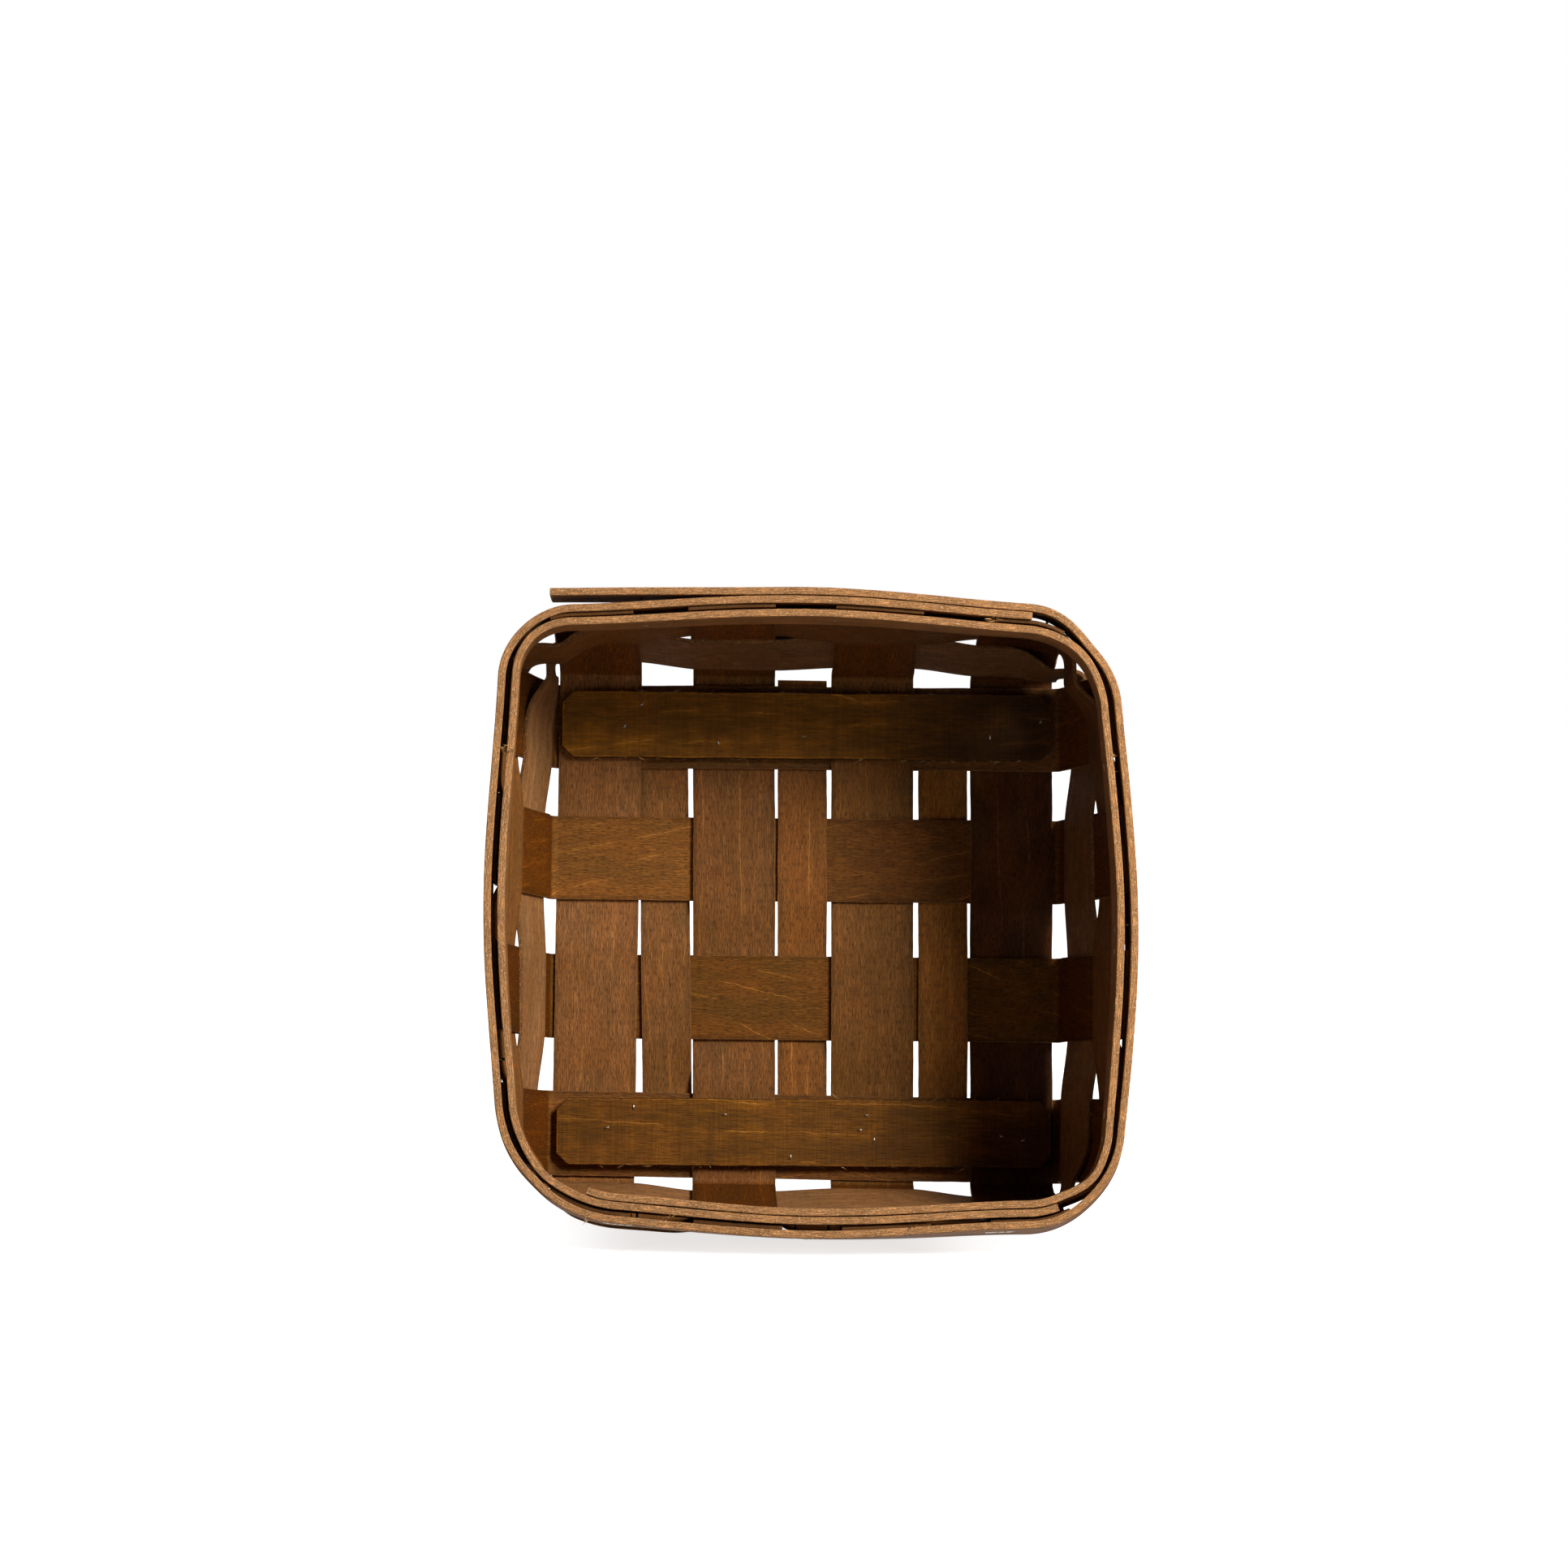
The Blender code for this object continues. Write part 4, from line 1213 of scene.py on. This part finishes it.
def make_basket():
    pieces = [make_splint(kind, index) for kind in ("length", "cross") for index in range(STRIPS_EACH_WAY)]
    pieces += [make_filler(index) for index in range(len(FILLER_LINES))]
    pieces.append(make_weaver("lower_weaver", LOWER_WEAVER, 1, BACK * STRIPS_EACH_WAY + 1, 12))
    upper = UPPER_WEAVER[0], UPPER_WEAVER[1] + UPPER_WEAVER_REACH
    pieces.append(make_weaver("upper_weaver", upper, 0, FRONT * STRIPS_EACH_WAY, 13, TAIL_SLACK))
    pieces += [make_outer_band(), make_inner_band()]
    pieces += [make_runner(level, index) for level in ("inner", "outer") for index in (0, 1)]
    finishes = (
        (VENEER_LOOKS, veneer_face, cut_edge("cut_veneer", (136, 90, 48), (190, 136, 80), 1.0, 0.10 * MM)),
        (BAND_LOOKS, band_face, cut_edge("cut_band", (218, 152, 92), (250, 208, 158), 0.9, 0.22 * MM)),
        (RUNNER_LOOKS, runner_face, cut_edge("cut_runner", (84, 54, 22), (150, 104, 52), 1.2, 0.15 * MM)),
    )
    for piece, node in pieces:
        for looks, face, cut in finishes:
            if node in looks:
                piece.data.materials.append(face(node, *looks[node]))
                piece.data.materials.append(cut)
        slot = next(word for word in SLOTS if word in node)
        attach(piece, "root")
        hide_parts(node)
    draws = random.Random(7)
    steel = staple_steel()
    make_runner_points(steel, draws)
    staples = make_rim_staples(steel)
    make_frays(torn_fibre(), draws)
    return [piece for piece, node in pieces] + [staples]


# The floor that the basket lies on, its light and the camera

CAMERA_PLACE = Vector((-0.0330, -0.0873, 1.2821))
CAMERA_RIGHT = Vector((1, 0.0084, 0.0213))
CAMERA_UP = Vector((-0.0105, 0.9949, 0.102))
CAMERA_LENS = 95.0
CAMERA_SENSOR = 36.0


def make_camera():
    back = CAMERA_RIGHT.cross(CAMERA_UP).normalized()
    up = back.cross(CAMERA_RIGHT).normalized()
    right = up.cross(back)
    camera = add_object("camera", bpy.data.cameras.new("camera"))
    camera.data.lens = CAMERA_LENS
    camera.data.sensor_width = CAMERA_SENSOR
    camera.matrix_world = Matrix.Translation(CAMERA_PLACE) @ Matrix((right, up, back)).transposed().to_4x4()
    bpy.context.scene.camera = camera


KEY_DIRECTION = Vector((0.57, 0.41, 0.70))
KEY_DISTANCE = 1.3
KEY_SIZE = 0.42
KEY_POWER = 22.0
FILL_ABOVE = 0.036             # the room's light down into the basket
FILL_AROUND = 0.50             # and from the white backdrop round and behind it
FILL_TURN = (0.05, 0.6)        # how far up a direction points, from the one to the other
HORIZON = (-0.1, 0.1)
FLOOR_HALF = 1.5
FLOOR_GREY = (0.55, 0.55, 0.55, 1)
FLOOR_PAINTED_SHADOW = 0.74             # painted shadow: the white the floor glows with where the rim touches it, the key light left out
SHADE_WIDTH = 52 * MM          # half the width of that painted shadow, which fades over as much again
SHADE_MIDDLE = -10 * MM        # away from the key light
WHITE_BEHIND = (20 * MM, 90 * MM)      # where the floor turns to the backdrop's white, behind the rim, painted over the basket's shadow
WHITE_BEFORE = (-45 * MM, 10 * MM)     # and before it
FLOOR_WHITE = 0.985            # of that white
FLOOR_AIR = 0.1 * MM
COVERED_HALF = 84 * MM         # the basket covers the floor this far to both sides of its middle
COVERED = (-16 * MM, 62 * MM)  # and from here to here below the rim
COVERED_FADE = 4 * MM


def rim_touch():
    """Where the outer band and the lower weaver touch the floor: (y, z) of each."""
    band_half, band_height = wall_profile(BANDS[0])
    foot_half, foot_height = wall_profile(LOWER_WEAVER[0])
    band_face = band_half * (1 + STRETCH_Y) + BAND_STEP + BAND_THICKNESS / 2
    band = Vector((RIM_SHIFT.y - band_face, band_height))
    foot = Vector((-foot_half - LAYER - VENEER / 2 - abs(OUTER_UPRIGHT_GIVE), foot_height))
    return band, foot


def least_reach(pieces, direction):
    """How far out along a direction the nearest point of any piece lies."""
    least = math.inf
    for piece in pieces:
        points = np.zeros(3 * len(piece.data.vertices))
        piece.data.vertices.foreach_get("co", points)
        least = min(least, float((points.reshape(-1, 3) @ np.array(direction)).min()))
    return least


def make_floor(pieces):
    """It leans against the front wall: this is the floor that the basket lies on, on its side."""
    band, foot = rim_touch()
    slope = math.atan2(foot.x - band.x, band.y - foot.y)
    across, depth = Vector((1, 0, 0)), Vector((0, -math.sin(slope), math.cos(slope)))
    upward = Vector((0, math.cos(slope), math.sin(slope)))
    mesh = bpy.data.meshes.new("pale_floor")
    corners = [(x, y, 0) for x, y in ((-1, 1), (1, 1), (1, -1), (-1, -1))]
    mesh.from_pydata([tuple(Vector(corner) * FLOOR_HALF) for corner in corners], [], [(0, 1, 2, 3)])
    floor = add_object("pale_floor", mesh)
    turn = Matrix((across, -depth, upward)).transposed().to_4x4()
    place = Vector((0, band.x, band.y))
    place += upward * (least_reach(pieces, upward) - place.dot(upward) - FLOOR_AIR)
    floor.matrix_world = Matrix.Translation(BASE_PLACE + place) @ turn
    mesh.flip_normals()
    mesh.materials.append(floor_white())


def floor_white():
    """White paper that glows for the camera: a soft painted shadow in front of the rim, and painted white
    behind and beside it, over the basket's shadow, where it turns to the white backdrop behind it.
    Where the basket covers it, it lets the room's light through to the outside of the front wall."""
    material, shading, shader = new_material("floor_white", 0.9, 0.0)
    across, below = shading.split(shading.place())[:2]
    behind = shading.between(below, *WHITE_BEHIND)
    before = shading.between(below, *WHITE_BEFORE, 1.0, 0.0)
    off_shade = shading.math("ABSOLUTE", shading.math("SUBTRACT", across, SHADE_MIDDLE))
    beside = shading.between(off_shade, SHADE_WIDTH / 2, SHADE_WIDTH * 3 / 2)
    painted_white_mask = shading.math("MAXIMUM", shading.math("MAXIMUM", behind, before), beside)
    camera = shading.node("ShaderNodeLightPath", {}, output="Is Camera Ray")
    # painted shadow in front of the rim, painted white behind and beside it, for camera rays only
    glow = shading.math("MULTIPLY", camera, shading.between(painted_white_mask, 0.0, 1.0, FLOOR_PAINTED_SHADOW, FLOOR_WHITE))
    shader.inputs["Base Color"].default_value = FLOOR_GREY
    shader.inputs["Emission Color"].default_value = (1, 1, 1, 1)
    shading.feed(shader.inputs["Emission Strength"], glow)
    off_middle = shading.math("ABSOLUTE", across)
    covered = shading.math("SUBTRACT", 1.0, camera)
    for mask in (
        shading.between(off_middle, COVERED_HALF - COVERED_FADE, COVERED_HALF, 1.0, 0.0),
        shading.between(below, COVERED[0], COVERED[0] + COVERED_FADE),
        shading.between(below, COVERED[1] - COVERED_FADE, COVERED[1], 1.0, 0.0),
    ):
        covered = shading.math("MULTIPLY", covered, mask)
    clear = shading.tree.nodes.new("ShaderNodeBsdfTransparent").outputs[0]
    back = shading.node("ShaderNodeNewGeometry", {}, output="Backfacing")
    through = shading.math("MAXIMUM", back, covered)
    seen = shading.node("ShaderNodeMixShader", {0: through, 1: shader.outputs[0], 2: clear})
    shading.feed(shading.tree.nodes["Material Output"].inputs["Surface"], seen)
    return material


def make_key_light():
    lamp = bpy.data.lights.new("soft_key", "AREA")
    lamp.size = KEY_SIZE
    lamp.energy = KEY_POWER
    key = add_object("soft_key", lamp)
    key.location = BASE_PLACE + KEY_DIRECTION.normalized() * KEY_DISTANCE
    key.rotation_euler = KEY_DIRECTION.to_track_quat("Z", "Y").to_euler()


def make_world():
    """White to the camera; it lights the basket from the backdrop's side, and little from above."""
    world = bpy.data.worlds.new("white_backdrop")
    bpy.context.scene.world = world
    world.use_nodes = True
    shading = Shading(world.node_tree)
    upward = shading.split(shading.place("Generated"))[2]
    fill = shading.between(upward, *FILL_TURN, FILL_AROUND, FILL_ABOVE)
    below = shading.between(upward, *HORIZON, 1.0, 0.0)
    camera, glossy, through = (
        shading.node("ShaderNodeLightPath", {}, output=ray)
        for ray in ("Is Camera Ray", "Is Glossy Ray", "Is Transmission Ray")
    )
    strength = shading.math("MAXIMUM", fill, shading.math("MULTIPLY", glossy, below))
    for ray in (camera, through):
        strength = shading.math("MAXIMUM", strength, ray)
    shading.feed(shading.tree.nodes["Background"].inputs["Strength"], strength)
    shading.tree.nodes["Background"].inputs["Color"].default_value = (1, 1, 1, 1)


make_floor(make_basket())
make_key_light()
make_world()
make_camera()
bpy.context.scene.view_settings.view_transform = "Standard"
